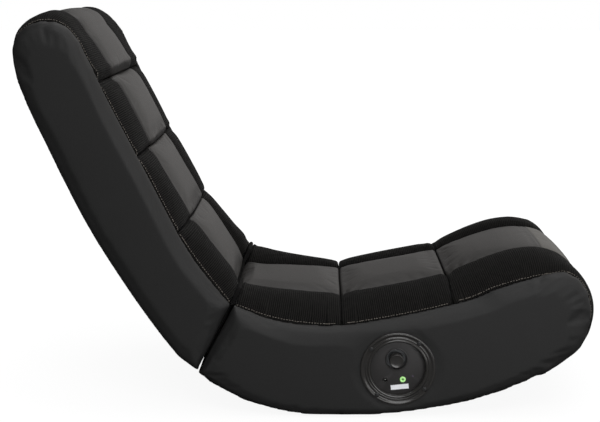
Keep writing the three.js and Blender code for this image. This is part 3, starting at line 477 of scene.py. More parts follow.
def welded_copy(node, name):
    piece = bpy.data.objects.new(name, frame["nodes"][node].data.copy())
    scene.collection.objects.link(piece)
    alone(piece)
    bpy.ops.object.mode_set(mode="EDIT")
    bpy.ops.mesh.select_all(action="SELECT")
    bpy.ops.mesh.remove_doubles(threshold=WELD)
    bpy.ops.mesh.tris_convert_to_quads(face_threshold=0.7, shape_threshold=0.7)
    bpy.ops.mesh.select_all(action="DESELECT")
    bpy.ops.mesh.edges_select_sharp(sharpness=math.radians(38))
    bpy.ops.transform.edge_crease(value=1)
    bpy.ops.object.mode_set(mode="OBJECT")
    return piece


def evened(piece, voxel, rounding=2, smoothing=3):
    if rounding:
        rounded = piece.modifiers.new("rounding", "SUBSURF")
        rounded.levels = rounded.render_levels = rounding
    remesh = piece.modifiers.new("even mesh", "REMESH")
    remesh.mode, remesh.voxel_size, remesh.use_smooth_shade = "VOXEL", voxel, True
    soft = piece.modifiers.new("soft rims", "SMOOTH")
    soft.factor, soft.iterations = 0.5, smoothing
    apply_all(piece)
    return piece


# %% [markdown]
# Points are read and written as arrays, all at once, because a loop over single points is slow on meshes
# as fine as these.

# %% Points as arrays
def points(piece):
    spots = np.empty(len(piece.data.vertices) * 3)
    piece.data.vertices.foreach_get("co", spots)
    return spots.reshape(-1, 3)


def set_points(piece, spots):
    piece.data.vertices.foreach_set("co", np.ascontiguousarray(spots).ravel())
    piece.data.update()


def outward(piece):
    arrows = np.empty(len(piece.data.vertices) * 3)
    piece.data.vertex_normals.foreach_get("vector", arrows)
    return arrows.reshape(-1, 3)


# %% [markdown]
# ## Stuffing
# Where a cushion touches a board or its neighbour it is sewn or pressed, and can't swell. Those points are
# found by their distance to the other CAD solids. The solids are kept as a tree of faces, in which the
# nearest one is found quickly.

# %% Distances to the neighbours
def tree_of(*pieces):
    """Some pieces as one tree of faces, to measure distances or to feel for with rays."""
    corners, faces = [], []
    for piece in pieces:
        start = len(corners)
        corners += [v.co.copy() for v in piece.data.vertices]
        faces += [[start + k for k in face.vertices] for face in piece.data.polygons]
    return BVHTree.FromPolygons(corners, faces)


def neighbours(own):
    """Every CAD node but one's own."""
    return [node for name, node in frame["nodes"].items() if name != own]


def gaps_to(tree, spots, reach=0.03):
    found = [tree.find_nearest(Vector(spot), reach) for spot in spots]
    return np.array([reach if hit[3] is None else hit[3] for hit in found])


# %% [markdown]
# The near points are pinned, and Blender's cloth blows up the rest with pressure for twenty frames. It has
# no gravity, because a stuffed cushion doesn't sag, and a cap keeps every point near the shape it started
# from. The pieces are simulated together, in one run through the frames.

# %% Pins and pressure
STUFFED = []
SIM_FRAMES = 20
PIN_FADE = 6 * MM


def stuff(piece, node, draw_in, cap, pressure=4.0, slack=-0.002, pin_within=2.2 * MM):
    start = points(piece)
    near = gaps_to(tree_of(*neighbours(node)), start)
    free = np.clip((near - pin_within) / PIN_FADE, 0, 1)
    start -= outward(piece) * (draw_in * free)[:, None]
    set_points(piece, start)
    pins = piece.vertex_groups.new(name="pins")
    pins.add([int(k) for k in np.flatnonzero(near < pin_within)], 1.0, "REPLACE")
    cloth = piece.modifiers.new("stuffing", "CLOTH")
    cloth.settings.quality = 4
    cloth.settings.mass = 0.25
    cloth.settings.use_pressure = True
    cloth.settings.uniform_pressure_force = pressure
    cloth.settings.vertex_group_mass = "pins"
    cloth.settings.shrink_min = slack
    cloth.settings.effector_weights.gravity = 0
    cloth.point_cache.frame_start, cloth.point_cache.frame_end = 1, SIM_FRAMES
    STUFFED.append((piece, start, cap))


def swell():
    """Runs the pressure on all the pieces at once, then caps and applies it."""
    for step in range(1, SIM_FRAMES + 1):
        scene.frame_set(step)
    for piece, start, cap in STUFFED:
        alone(piece)
        bpy.ops.object.modifier_apply(modifier="stuffing")
        moved = points(piece) - start
        length = np.linalg.norm(moved, axis=1)
        keep = np.minimum(1, cap / np.maximum(length, 1e-9))
        set_points(piece, start + moved * keep[:, None])
        most, middle = length.max() / MM, np.median(length) / MM
        print(f"{piece.name}: swelled {most:.1f} mm at most, {middle:.2f} in the middle")
    scene.frame_set(1)
    STUFFED.clear()


def refined(piece):
    finer = piece.modifiers.new("finer", "SUBSURF")
    finer.levels = finer.render_levels = 1
    apply_all(piece)


# %% [markdown]
# ## The seven vinyl pads and their bolsters
# Each section of the chair is one vinyl pad between two mesh bolsters. The bolsters of the far side are
# the near ones mirrored, so only one side is stuffed.

# %% Making the sections
SEAT_SECTIONS = ["rear", "middle", "front"]
BACK_SECTIONS = ["lower", "middle", "upper", "head"]
pads, bolsters = {}, {}
for body, sections in (("seat", SEAT_SECTIONS), ("back", BACK_SECTIONS)):
    for section in sections:
        pad_node = "headrest_pad" if section == "head" else f"{body}_pad_{section}"
        pads[pad_node] = evened(welded_copy(pad_node, f"stuffed_{pad_node}"), voxel=4.2 * MM)
        stuff(pads[pad_node], pad_node, draw_in=1.6 * MM, cap=3.2 * MM)
        near_node = f"{body}_bolster_{section}_right"
        bolsters[near_node] = evened(welded_copy(near_node, f"stuffed_{near_node}"), voxel=4.2 * MM)
        stuff(bolsters[near_node], near_node, draw_in=1.4 * MM, cap=2.8 * MM)
print(len(pads), "pads and", len(bolsters), "near bolsters are ready to be stuffed")

# %% [markdown]
# ## Side covers
# The sides are vinyl over a thin layer of foam, stretched from the sewn seam to the underside. They are
# rigid where they lie on the board and round the control panel, and a little full in between. The seat
# has a cover of its own on each side, because only the right one has the opening for the panel.

# %% Making the side covers
COVER_BODIES = {
    "seat_side_cover_right": "seat",
    "seat_side_cover_left": "seat",
    "back_side_cover_right": "backrest",
}
covers = {}
for node in COVER_BODIES:
    covers[node] = evened(welded_copy(node, f"padded_{node}"), voxel=3.0 * MM, rounding=0, smoothing=10)
    stuff(covers[node], node, draw_in=0.8 * MM, cap=2.0 * MM, pressure=2.0, slack=0.0)
swell()

# %% [markdown]
# ## A map for the weave
# The knit must follow the cloth round the front roll and over the head, and so must the cross seam. The
# line of the bolsters' crowns gives the way along: each point's U is its distance along that line, and
# its V its place across, both in metres.

# %% The lines along seat and back
low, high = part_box("hinge_pin_left")
HINGE = Vector((round((low.x + high.x) / 2, 5), 0, round((low.z + high.z) / 2, 5)))
CREASE = (round(HINGE.x, 3), round(HINGE.z, 3))
CROWN_ROW = 0.1411


def crown_line(body, sections):
    """The bolsters' crowns in the side view, as points in order from the crease to the far end."""
    line = []
    for section in sections:
        mesh = frame["nodes"][f"{body}_bolster_{section}_right"].data
        crown = [v.co for v in mesh.vertices if abs(abs(v.co.y) - CROWN_ROW) < 0.6 * MM]
        left = list({(round(co.x, 5), round(co.z, 5)) for co in crown})
        spot = line[-1] if line else min(left, key=lambda p: math.dist(p, CREASE))
        while left:
            spot = min(left, key=lambda p: math.dist(p, spot))
            left.remove(spot)
            line.append(spot)
    return np.array(line)


def length_of(line):
    return np.linalg.norm(np.diff(line, axis=0), axis=1).sum()


BACK_OUT = (0.87, 0.49)
# Where each channel's bottom lies in the side view, and the way out of it.
CHANNELS = {
    "seat": [((0.0083, 0.160), (-0.03, 1.0)), ((0.1722, 0.193), (-0.28, 0.96))],
    "backrest": [(place, BACK_OUT) for place in ((-0.2262, 0.2895), (-0.2884, 0.4025), (-0.3482, 0.5190))],
}
LINES = {"seat": crown_line("seat", SEAT_SECTIONS), "backrest": crown_line("back", BACK_SECTIONS)}
for body, line in LINES.items():
    print(f"{body} line: {len(line)} points, {length_of(line):.3f} m")

# %% [markdown]
# Each stretch of such a line is compared with all the points of a piece at once, and every point keeps the
# stretch that is nearest. That gives its way along and its height over the crowns, which the map needs,
# and the fitting of the outline too.

# %% Way along and height
PAST_END = 9


def way_and_height(line, spots):
    """Each point's distance along a line of the side view, which goes on past its ends, and its height."""
    flat = spots[:, [0, 2]]
    steps = np.diff(line, axis=0)
    lengths = np.linalg.norm(steps, axis=1)
    starts = np.concatenate([[0], np.cumsum(lengths)[:-1]])
    best, found, height = np.full(len(flat), 1e9), np.zeros(len(flat)), np.zeros(len(flat))
    for k, (a, step, length) in enumerate(zip(line[:-1], steps, lengths)):
        if length < 1e-6:
            continue
        share = (flat - a) @ step / length**2
        share = np.clip(share, -PAST_END if k == 0 else 0, PAST_END if k == len(steps) - 1 else 1)
        off = flat - a - share[:, None] * step
        away = np.linalg.norm(off, axis=1)
        over = np.where(off @ [-step[1], step[0]] * line_side(line) > 0, away, -away)
        nearer = away < best
        best[nearer], height[nearer] = away[nearer], over[nearer]
        found[nearer] = (starts[k] + share * length)[nearer]
    return found, height


def line_side(line):
    """Seat lines run forwards and back lines upwards, so the sitter is on one side or the other."""
    return 1 if line[0][0] < line[-1][0] else -1


def map_cloth(piece, body):
    """A UV map in metres. The way along skips the dips at the channels, or the ribs would fan out there."""
    spots = points(piece)
    dips = [place for place, _ in CHANNELS[body]] + [CREASE]
    level = [spot for spot in LINES[body] if min(math.dist(spot, dip) for dip in dips) > 17 * MM]
    along, _ = way_and_height(np.array(level), spots)
    uv = piece.data.uv_layers.new(name="UVMap") if not piece.data.uv_layers else piece.data.uv_layers[0]
    corner = np.empty(len(piece.data.loops), dtype=np.int32)
    piece.data.loops.foreach_get("vertex_index", corner)
    uv.data.foreach_set("uv", np.stack([along[corner], spots[corner, 1]], axis=1).ravel())
    return along


# %% [markdown]
# ## Fitting the outline
# Foam and cloth don't follow the boards exactly: the photograph shows the front roll a little fuller above
# and below and flatter in between, and the head flatter on top. Round the middle of each roll the soft
# pieces move in or out, and the lists give by how many millimetres at which angle in degrees, one list for
# the crowns, one for the seams and one for what the vinyl pads stand higher. The lower back bolsters
# swell near the crease, and the covers of the back are fuller at the rear. The moves of the rolls and the
# channels fade with depth, so that nothing inside is touched.

# %% Millimetres in or out, by angle
ROLLS = {
    "seat": ((0.290, 0.145), {
        "crown": [
            (-80, 0), (-49, 3), (-24, 7), (-13, 6), (7, -1), (17, -4), (32, -5.5),
            (48, -1.5), (58, 2), (69, 4), (79, 5), (103, 4.5), (127, 3), (150, 0),
        ],
        "seam": [
            (-80, 0), (-49, 5), (-24, 8.5), (-3, 3.4), (27, 2.2), (38, 3), (48, 5),
            (58, 6.5), (79, 2.8), (91, 1.8), (115, 3), (138, 4), (155, 0),
        ],
        "pad": [(20, 0), (36, 5.5), (55, 5.5), (75, 0)],
    }),
    "backrest": ((-0.400, 0.530), {
        "crown": [(46, 0), (68, -0.5), (84, 3.5), (97, 3), (109, 0), (122, -3), (135, -1), (148, 0)],
        "seam": [
            (20, 0), (46, 2), (68, 3.5), (84, 5), (97, 4.5), (109, 3), (135, 2.5), (147, 3.5),
            (175, 1.5), (200, 0),
        ],
        "pad": [(70, 0), (88, 2.5), (125, 2.5), (145, 0)],
    }),
}
print("rolls fitted round", {body: centre for body, (centre, _) in ROLLS.items()})

# %% [markdown]
# Fills, swells, widths and fades are millimetres too, because the moves are added up in millimetres. Places
# across the chair, DIP_REACH and what is multiplied by MM are metres. Directions are in the side view.

# %% Amounts and directions
low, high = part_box("seat_bolster_middle_left")
CROWN_Y = 0.141
INNER_Y, OUTER_Y, SEAM_Y, COVER_Y = low.y, high.y - 3 * MM, high.y - 2 * MM, high.y + 1 * MM
PADS_WITHIN, BOLSTERS_PAST, COVERS_PAST = 0.1, 0.09, 0.2
CROWN_FADE, SEAM_FADE, DIP_FADE = (45, 30), (75, 35), (55, 40)
DIP_FILL, DIP_WIDTH, DIP_REACH = 3.5, 9, 0.05
SWELL, SWELL_AT, SWELL_WIDTH = 2.6, 24, 14
REAR_FILL, REAR_DEPTH, REAR_FADE = 2.6, 32, 20
SNUG, SNUG_FROM, SNUG_FADE = 1.5 * MM, 3.8 * MM, 10 * MM
CREASE_UP = (0.4555, 0.8902)
DOWN = Vector((-CREASE_UP[0], 0, -CREASE_UP[1]))
FORWARD = Vector((CREASE_UP[1], 0, -CREASE_UP[0]))
BACK_UP = Vector((-BACK_OUT[1], 0, BACK_OUT[0]))
REAR = np.array([-0.8788, -0.4772])
print(f"bolsters lie from {low.y / MM:.0f} to {high.y / MM:.0f} mm off the middle")

# %% [markdown]
# A lattice or a sculpting brush could move the cushions by eye. Here the moves are worked out for all the
# points at once, so each amount can be checked against the outline and changed by itself.

# %% Moving the soft pieces
def smooth_step(share):
    share = np.clip(share, 0, 1)
    return share**2 * (3 - 2 * share)


def near_top(height, reach, fade):
    """1 at the crown line and 0 at a depth of `reach` millimetres below it, over a fade."""
    return np.clip((height / MM + reach) / fade, 0, 1)


def snug_at_crease(piece):
    """Brings a pad's end nearer to the crease, where no hinge is in the way."""
    spots = points(piece)
    ahead = (spots - HINGE) @ FORWARD
    closer = SNUG * np.clip(1 - (np.abs(ahead) - SNUG_FROM) / SNUG_FADE, 0, 1)
    spots -= np.outer(np.sign(ahead) * closer, FORWARD)
    set_points(piece, spots)


def roll_moves(body, spots, height, is_pad):
    centre, sums = ROLLS[body]
    rays = spots[:, [0, 2]] - centre
    angle = np.degrees(np.arctan2(rays[:, 1], rays[:, 0]))
    if body == "backrest":
        angle = np.where(angle < -60, angle + 360, angle)
    kinds = ("crown", "seam", "pad")
    crown, seam, pad = (np.interp(angle, *zip(*sums[kind]), left=0, right=0) for kind in kinds)
    crown = (crown + pad if is_pad else crown) * near_top(height, *CROWN_FADE)
    seam = seam * near_top(height, *SEAM_FADE)
    to_seam = smooth_step((np.abs(spots[:, 1]) - CROWN_Y) / (SEAM_Y - CROWN_Y))
    out = rays / np.linalg.norm(rays, axis=1)[:, None]
    return out * (crown * (1 - to_seam) + seam * to_seam)[:, None]


def filled_dips(body, spots, height, is_bolster):
    """Cloth fills the channels and the bolsters' crease a little, most at their bottom line."""
    moves = np.zeros((len(spots), 2))
    for place, up in CHANNELS[body] + ([(CREASE, CREASE_UP)] if is_bolster else []):
        off = spots[:, [0, 2]] - place
        beside = np.abs(off @ [up[1], -up[0]]) / MM
        near = (np.abs(off @ up) < DIP_REACH) & (np.abs(spots[:, 1]) < COVER_Y)
        fill = DIP_FILL * np.exp(-((beside / DIP_WIDTH) ** 2)) * near_top(height, *DIP_FADE)
        moves += np.outer(near * fill, up)
    return moves


def fitted_to_outline(piece, body):
    spots = points(piece)
    from_middle = np.abs(spots[:, 1])
    is_pad, is_bolster = from_middle.max() < PADS_WITHIN, from_middle.min() > BOLSTERS_PAST
    _, height = way_and_height(LINES[body], spots)
    move = roll_moves(body, spots, height, is_pad) + filled_dips(body, spots, height, is_bolster)
    if body == "backrest" and is_bolster:
        up_the_back = ((spots - HINGE) @ BACK_UP) / MM
        swollen = np.exp(-(((up_the_back - SWELL_AT) / SWELL_WIDTH) ** 2)) * near_top(height, *CROWN_FADE)
        across = np.clip((from_middle - INNER_Y) / (OUTER_Y - INNER_Y), 0, 1)
        move += np.outer(SWELL * swollen * np.sin(math.pi * across), BACK_OUT)
    if body == "backrest" and from_middle.max() > COVERS_PAST:
        behind = spots[:, [0, 2]] @ REAR / MM
        below_head = np.clip((0.53 - spots[:, 2]) / 0.08, 0, 1)
        rear = np.clip((behind - behind.max() + REAR_DEPTH) / REAR_FADE, 0, 1)
        move += np.outer(REAR_FILL * rear * below_head, REAR)
    spots[:, [0, 2]] += move * MM
    set_points(piece, spots)


# %% [markdown]
# ## Finishing the pads
# One subdivision makes the swollen mesh fine enough for smooth light. The copies for the far side are
# mirrored, and their faces turned outwards again. Each piece then takes its finish and its body, and the
# CAD node that it stands for is hidden.

# %% Mirroring and dressing
def mirrored(piece, name):
    far = bpy.data.objects.new(name, piece.data.copy())
    scene.collection.objects.link(far)
    set_points(far, points(far) * [1, -1, 1])
    far.data.flip_normals()
    far.vertex_groups.clear()
    return far


def dress(piece, node, body, finish):
    piece.data.materials.clear()
    piece.data.materials.append(finish.material)
    piece.vertex_groups.clear()
    piece.data.shade_smooth()
    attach(piece, body)
    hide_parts(node)


def body_of(node):
    return "seat" if node.startswith("seat") else "backrest"


# %% [markdown]
# The front pad has a cross seam. The vinyl is drawn in along a narrow line, and two attributes tell the
# finish where the seam lies and what is past it, which is painted paler as sheen on the front roll. Every
# bolster gets its map after it is mirrored, so that the ribs run on at the same places on both sides.

# %% Finishing the pads, bolsters and covers
CROSS_SEAM, SEAM_WIDTH, SEAM_DEPTH = (0.3240, 0.2360), 1.3 * MM, 1.1 * MM
for node, pad in pads.items():
    refined(pad)
    fitted_to_outline(pad, body_of(node))
    if node in ("seat_pad_rear", "back_pad_lower"):
        snug_at_crease(pad)
    along = map_cloth(pad, body_of(node))
    if node == "seat_pad_front":
        spots = points(pad)
        seam_at = along[np.argmin(np.linalg.norm(spots[:, [0, 2]] - CROSS_SEAM, axis=1))]
        near_seam = np.exp(-(((along - seam_at) / SEAM_WIDTH) ** 2))
        set_points(pad, spots - outward(pad) * (near_seam * SEAM_DEPTH)[:, None])
        # The mask past the seam marks where the painted sheen goes.
        carried = {"painted_sheen_past_seam": np.clip((along - seam_at) / MM, 0, 1), "seam_line": near_seam}
        for name, values in carried.items():
            pad.data.attributes.new(name, "FLOAT", "POINT").data.foreach_set("value", values)
    dress(pad, node, body_of(node), centre_vinyl)
for node, bolster in bolsters.items():
    refined(bolster)
    fitted_to_outline(bolster, body_of(node))
    far = mirrored(bolster, bolster.name.replace("right", "left"))
    for piece, of in ((bolster, node), (far, node.replace("right", "left"))):
        map_cloth(piece, body_of(of))
        dress(piece, of, body_of(of), mesh_cloth)
for node, body in COVER_BODIES.items():
    fitted_to_outline(covers[node], body)
    dress(covers[node], node, body, side_vinyl)
far_cover = mirrored(covers["back_side_cover_right"], "padded_back_side_cover_left")
dress(far_cover, "back_side_cover_left", "backrest", side_vinyl)

# %% [markdown]
# ## Stitching
# A row of topstitches runs along the seam between mesh and side cover. Each stitch is a short round bit
# of thread that lies on the edge of the mesh, about four millimetres from the next. One stitch is
# modelled as a small sphere that is drawn out, with few faces, because there are hundreds of copies.

# %% One stitch
STITCH_RADIUS, STITCH_STRETCH = 0.5 * MM, 0.8 * MM
bpy.ops.object.select_all(action="DESELECT")
bpy.ops.mesh.primitive_uv_sphere_add(segments=8, ring_count=6, radius=STITCH_RADIUS)
one_stitch = bpy.context.object
bpy.ops.object.mode_set(mode="EDIT")
bpy.ops.transform.resize(value=(1, 0.9, 0.7))
bpy.ops.object.mode_set(mode="OBJECT")
STITCH = points(one_stitch)
STITCH[:, 0] += np.sign(np.round(STITCH[:, 0], 7)) * STITCH_STRETCH
STITCH_FACES = [tuple(face.vertices) for face in one_stitch.data.polygons]
bpy.data.objects.remove(one_stitch)
print("one stitch:", len(STITCH), "points,", len(STITCH_FACES), "faces")

# %% [markdown]
# The stitches need a line to lie on. Rays from outside the chair feel for the cloth at each small step,
# which works on whatever shape the stuffing takes, where a curve drawn by hand would float or sink in.

# %% Feeling for the seam
FEEL_FROM, FEEL_REACH = 0.03, 0.12


def felt_line(line, tree, y, start, stop, step):
    """Points and normals on a piece at one y, found by rays that look inwards across a line."""
    steps = np.diff(line, axis=0)
    ends = np.cumsum(np.linalg.norm(steps, axis=1))
    found = []
    for way in np.arange(start, min(stop, ends[-1]), step):
        k = int(np.searchsorted(ends, way))
        share = 1 - (ends[k] - way) / np.linalg.norm(steps[k])
        spot = line[k] + steps[k] * share
        window = slice(max(0, k - 1), k + 2)
        ahead = steps[window].sum(axis=0)
        ahead /= np.linalg.norm(ahead)
        up = np.array([-ahead[1], ahead[0]]) * line_side(line)
        high = Vector((spot[0] + up[0] * FEEL_FROM, y, spot[1] + up[1] * FEEL_FROM))
        hit, normal, _, _ = tree.ray_cast(high, Vector((-up[0], 0, -up[1])), FEEL_REACH)
        if hit is not None:
            found.append((hit, normal))
    return found


# %% [markdown]
# Each copy of the stitch is turned to lie along the seam and flat on the cloth, at a small slant to it, as
# a lockstitch pulls it. The copies of one seam are one mesh.

# %% Laying the stitches
def laid_stitches(name, seam, body, slant=0.22, pitch=4.3 * MM, jump=4 * MM, lift=0.12 * MM):
    corners, faces, walked, turn = [], [], 0.0, math.sin(slant)
    for (spot, normal), (after, _) in zip(seam, seam[1:]):
        ahead = after - spot
        walked += ahead.length
        if walked < pitch or ahead.length > jump:
            continue
        walked -= pitch
        ahead = (ahead.normalized() + Vector((0, turn if spot.y < 0 else -turn, 0))).normalized()
        side = normal.cross(ahead).normalized()
        turned_axes = np.array([ahead, side, normal])
        start = len(corners)
        corners += (STITCH @ turned_axes + np.array(spot + normal * lift)).tolist()
        faces += [tuple(start + k for k in face) for face in STITCH_FACES]
    mesh = bpy.data.meshes.new(name)
    mesh.from_pydata(corners, [], faces)
    piece = bpy.data.objects.new(name, mesh)
    scene.collection.objects.link(piece)
    mesh.materials.append(thread.material)
    mesh.shade_smooth()
    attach(piece, body)
    print(name, len(faces) // len(STITCH_FACES), "stitches")


STITCHES_Y, FIRST_STITCH, FEEL_STEP = 0.1922, -0.022, 0.65 * MM
for body, word in (("seat", "seat"), ("backrest", "back")):
    line = LINES[body]
    strip = tree_of(*[o for o in scene.objects if o.name.startswith(f"stuffed_{word}_bolster")])
    for side, hand in ((-1, "right"), (1, "left")):
        seam = felt_line(line, strip, side * STITCHES_Y, FIRST_STITCH, length_of(line), FEEL_STEP)
        laid_stitches(f"stitching_{word}_{hand}", seam, body)

# %% [markdown]
# ## The crease
# Seat and back meet over two steel hinges, and the real chair hides them: a strip of cloth is sewn to
# both cushions and bends over the knuckles when the back folds down. It is one sheet that follows the
# seat at one edge and the back at the other. Over the knuckles it stands up, and elsewhere it sinks
# into the crease.

# %% The strip over the hinges
def crease_spot(along_normal, depth, y):
    """A point by its distance in front of the crease plane and its depth below the hinge line."""
    return HINGE + FORWARD * along_normal * MM + DOWN * depth * MM + Vector((0, y, 0))


OVER = [(-3.5, 8), (-3.5, 4), (-3.4, 0), (-2.4, -2.4), (0, -3.4), (2.4, -2.4), (3.4, 0), (3.5, 4), (3.5, 8)]
VALLEY = [
    (-3.5, 22), (-3.5, 19), (-3.3, 16), (-2.0, 18), (0, 21), (2.0, 18), (3.3, 16), (3.5, 19), (3.5, 22),
]
low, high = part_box("hinge_pin_left")
KNUCKLES_Y, KNUCKLES_HALF, RISE = (low.y + high.y) / 2, (high.y - low.y) / 2 + 2 * MM, 7 * MM
PADS_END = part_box("seat_pad_rear")[1].y + 0.3 * MM
HALF_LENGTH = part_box("seat_side_cover_left")[0].y - 0.8 * MM
bpy.ops.object.select_all(action="DESELECT")
bpy.ops.mesh.primitive_grid_add(x_subdivisions=len(OVER) - 1, y_subdivisions=96, size=1)
gusset = bpy.context.object
gusset.name = "crease_gusset"
flat = points(gusset)
column = np.rint((flat[:, 0] + 0.5) * (len(OVER) - 1)).astype(int)
shaped = []
for k, share in zip(column, flat[:, 1] * 2):
    y = share * HALF_LENGTH
    over = smooth_step(1 - (abs(abs(y) - KNUCKLES_Y) - KNUCKLES_HALF) / RISE)
    front, deep = (over * a + (1 - over) * b for a, b in zip(OVER[k], VALLEY[k]))
    ruffle = (0.3 * math.sin(share * 61) + 0.2 * math.sin(share * 143 + k)) * (1 - over)
    narrow = min(max(0.5, 0.5 + (abs(y) - PADS_END) / 0.004), 1)
    shaped.append(crease_spot(front * narrow, deep - ruffle, y))
set_points(gusset, np.array(shaped))
wall = gusset.modifiers.new("cloth", "SOLIDIFY")
wall.thickness, wall.offset = 0.6 * MM, 0
smooth = gusset.modifiers.new("smooth", "SUBSURF")
smooth.levels = smooth.render_levels = 1
apply_all(gusset)
gusset.data.shade_smooth()
# Its near-black finish is partly painted shade for the crease.
gusset.data.materials.append(crease_cloth.material)
tuple(crease_spot(3.5, 0, 0))
tuple(crease_spot(-3.5, 0, 0))
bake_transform(gusset)
print("strip over the hinges:", len(gusset.data.polygons), "faces")

# %% [markdown]
# ## Linings under and behind
# Thin black cloth is stapled under the seat and over the back. It is never quite tight: it ripples, and
# towards the ends it hangs a little below the covers. The ripples are a noise that moves points along
# their normals, and hardly at all where the chair stands on the floor.

# %% The linings
def soft_noise(spots, scale, seed):
    """A smooth noise from a few sines in random directions, the same in every run."""
    dice = np.random.default_rng(seed)
    total = np.zeros(len(spots))
    for octave in range(5):
        for _ in range(4):
            way = dice.normal(size=3)
            way *= 2 * math.pi * 1.7**octave / scale / np.linalg.norm(way)
            total += np.sin(spots @ way + dice.uniform(0, 6.28)) / 1.6**octave
    return total / 5


LINING_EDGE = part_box("underside_panel")[1].y - 0.7 * MM
STANDS_AT, STANDS_HALF, STANDS_FADE = 0.02, 0.10, 0.09
for node, body in (("underside_panel", "seat"), ("back_rear_panel", "backrest")):
    cloth = evened(welded_copy(node, f"lined_{node}"), voxel=3.2 * MM, rounding=0, smoothing=6)
    fitted_to_outline(cloth, body)
    spots, arrows = points(cloth), outward(cloth)
    wave = soft_noise(spots * [1, 0.6, 1], scale=0.055, seed=7)
    if body == "seat":
        outer = arrows[:, 2] < -0.35
        ends = np.clip((np.abs(spots[:, 0] - STANDS_AT) - STANDS_HALF) / STANDS_FADE, 0, 1)
        lift = np.where(outer, ends * (2.0 + 2.2 * wave) - (1 - ends) * 0.4 * np.abs(wave), 0.0)
        lift *= np.clip((LINING_EDGE - np.abs(spots[:, 1])) / 0.004, 0.35, 1)
    else:
        outer = arrows[:, 0] < -0.35
        lift = np.where(outer, 1.3 * wave, 0.0) * np.clip((LINING_EDGE - np.abs(spots[:, 1])) / 0.02, 0, 1)
    spots += arrows * (lift * MM)[:, None]
    spots[:, 2] = np.maximum(spots[:, 2], 0.0)
    set_points(cloth, spots)
    dress(cloth, node, body, lining)
    print(f"{node}: rippled by {np.abs(lift).max():.1f} mm at most")

# %% [markdown]
# ## Round mouldings
# The control panel is all turned shapes: a bezel with a bead at each rim, a plate, a knob, sockets and
# screws. Each is a section that is spun about a line along Y, merged where it closes, and bevelled. The
# sizes are in millimetres, and heights count outwards from FACE, the plane of the chair's right side.

# %% Spinning a section
FACE = round(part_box("seat_side_cover_right")[0].y / MM, 1)
SHARP = math.radians(32)


def middle_of(node):
    """A node's middle in the side view, in millimetres."""
    low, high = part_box(node)
    return tuple(round((a + b) / 2 / MM, 1) for a, b in ((low.x, high.x), (low.z, high.z)))


def turned(name, section, centre, finish, body, steps=96, soften=0.25):
    """A closed section, as radius and height in front of the side, spun about its centre."""
    bpy.ops.object.select_all(action="DESELECT")
    bpy.ops.mesh.primitive_circle_add(vertices=len(section), radius=1)
    piece = bpy.context.object
    piece.name = name
    set_points(piece, np.zeros((len(section), 3)))
    for vertex, (radius, proud) in zip(piece.data.vertices, section):
        vertex.co = ((centre[0] + radius) * MM, (FACE - proud) * MM, centre[1] * MM)
    bpy.ops.object.mode_set(mode="EDIT")
    bpy.ops.mesh.select_all(action="SELECT")
    middle = (centre[0] * MM, FACE * MM, centre[1] * MM)
    bpy.ops.mesh.spin(steps=steps, angle=2 * math.pi, center=middle, axis=(0, 1, 0))
    bpy.ops.mesh.select_all(action="SELECT")
    bpy.ops.mesh.remove_doubles(threshold=WELD)
    bpy.ops.mesh.dissolve_degenerate(threshold=WELD / 10)
    bpy.ops.mesh.select_all(action="SELECT")
    bpy.ops.mesh.normals_make_consistent(inside=False)
    bpy.ops.object.mode_set(mode="OBJECT")
    if soften:
        rim = piece.modifiers.new("soft rims", "BEVEL")
        rim.width, rim.segments = soften * MM, 2
        rim.limit_method, rim.angle_limit = "ANGLE", math.radians(28)
        apply_all(piece)
    finished(piece, finish, body)
    return piece


def finished(piece, finish, body):
    alone(piece)
    bpy.ops.object.transform_apply(location=True, rotation=True, scale=True)
    bpy.ops.object.shade_smooth_by_angle(angle=SHARP)
    piece.data.materials.clear()
    piece.data.materials.append(finish.material)
    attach(piece, body)


def cut_away(piece, cutter):
    """Takes the cutter's shape out of a piece, and removes the cutter."""
    cut = piece.modifiers.new("cut", "BOOLEAN")
    cut.operation, cut.object, cut.solver = "DIFFERENCE", cutter, "EXACT"
    apply_all(piece)
    bpy.data.objects.remove(cutter)


def bored(piece, spots, radius, front, back, sides=48):
    """Cuts round holes from the front; heights are in front of the side."""
    for x, z in spots:
        bpy.ops.object.select_all(action="DESELECT")
        bpy.ops.mesh.primitive_cylinder_add(
            vertices=sides, radius=radius * MM, depth=(front - back) * MM,
            location=(x * MM, (FACE - (front + back) / 2) * MM, z * MM), rotation=(math.pi / 2, 0, 0),
        )
        cut_away(piece, bpy.context.object)
    alone(piece)
    bpy.ops.object.shade_smooth_by_angle(angle=SHARP)


# %% [markdown]
# ## Bezel and screws
# The bezel's two beads catch the light as thin bright rings, with a hollow between them where the four
# black screws sit in wells.

# %% The bezel
PANEL = middle_of("control_bezel")
SCREWS = [middle_of(f"bezel_screw_{k}") for k in (1, 2, 3, 4)]
BEZEL = [
    (56.3, 0.6), (56.5, 2.0), (56.2, 3.1), (55.2, 3.8), (53.9, 4.0), (52.7, 3.6), (51.8, 2.7),
    (50.9, 2.1), (49.8, 2.0), (49.1, 2.5), (48.4, 2.9), (47.5, 2.9), (46.7, 2.4), (46.2, 2.3),
    (45.6, 2.8), (44.9, 3.6), (43.8, 4.0), (42.7, 3.7), (41.9, 2.8), (41.5, 1.4), (41.5, -6.6),
    (45.0, -6.9), (47.9, -6.9), (47.9, 0.6),
]
bezel = turned("bezel", BEZEL, PANEL, bezel_plastic, "seat", steps=128, soften=0)
bored(bezel, SCREWS, radius=3.75, front=8, back=1.7)
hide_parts("control_bezel")
HEAD_TOP = 3.6
HEAD = [(0, 1.9), (3.3, 1.9), (3.3, 2.7), (3.0, 3.2), (2.2, 3.5), (0, HEAD_TOP)]
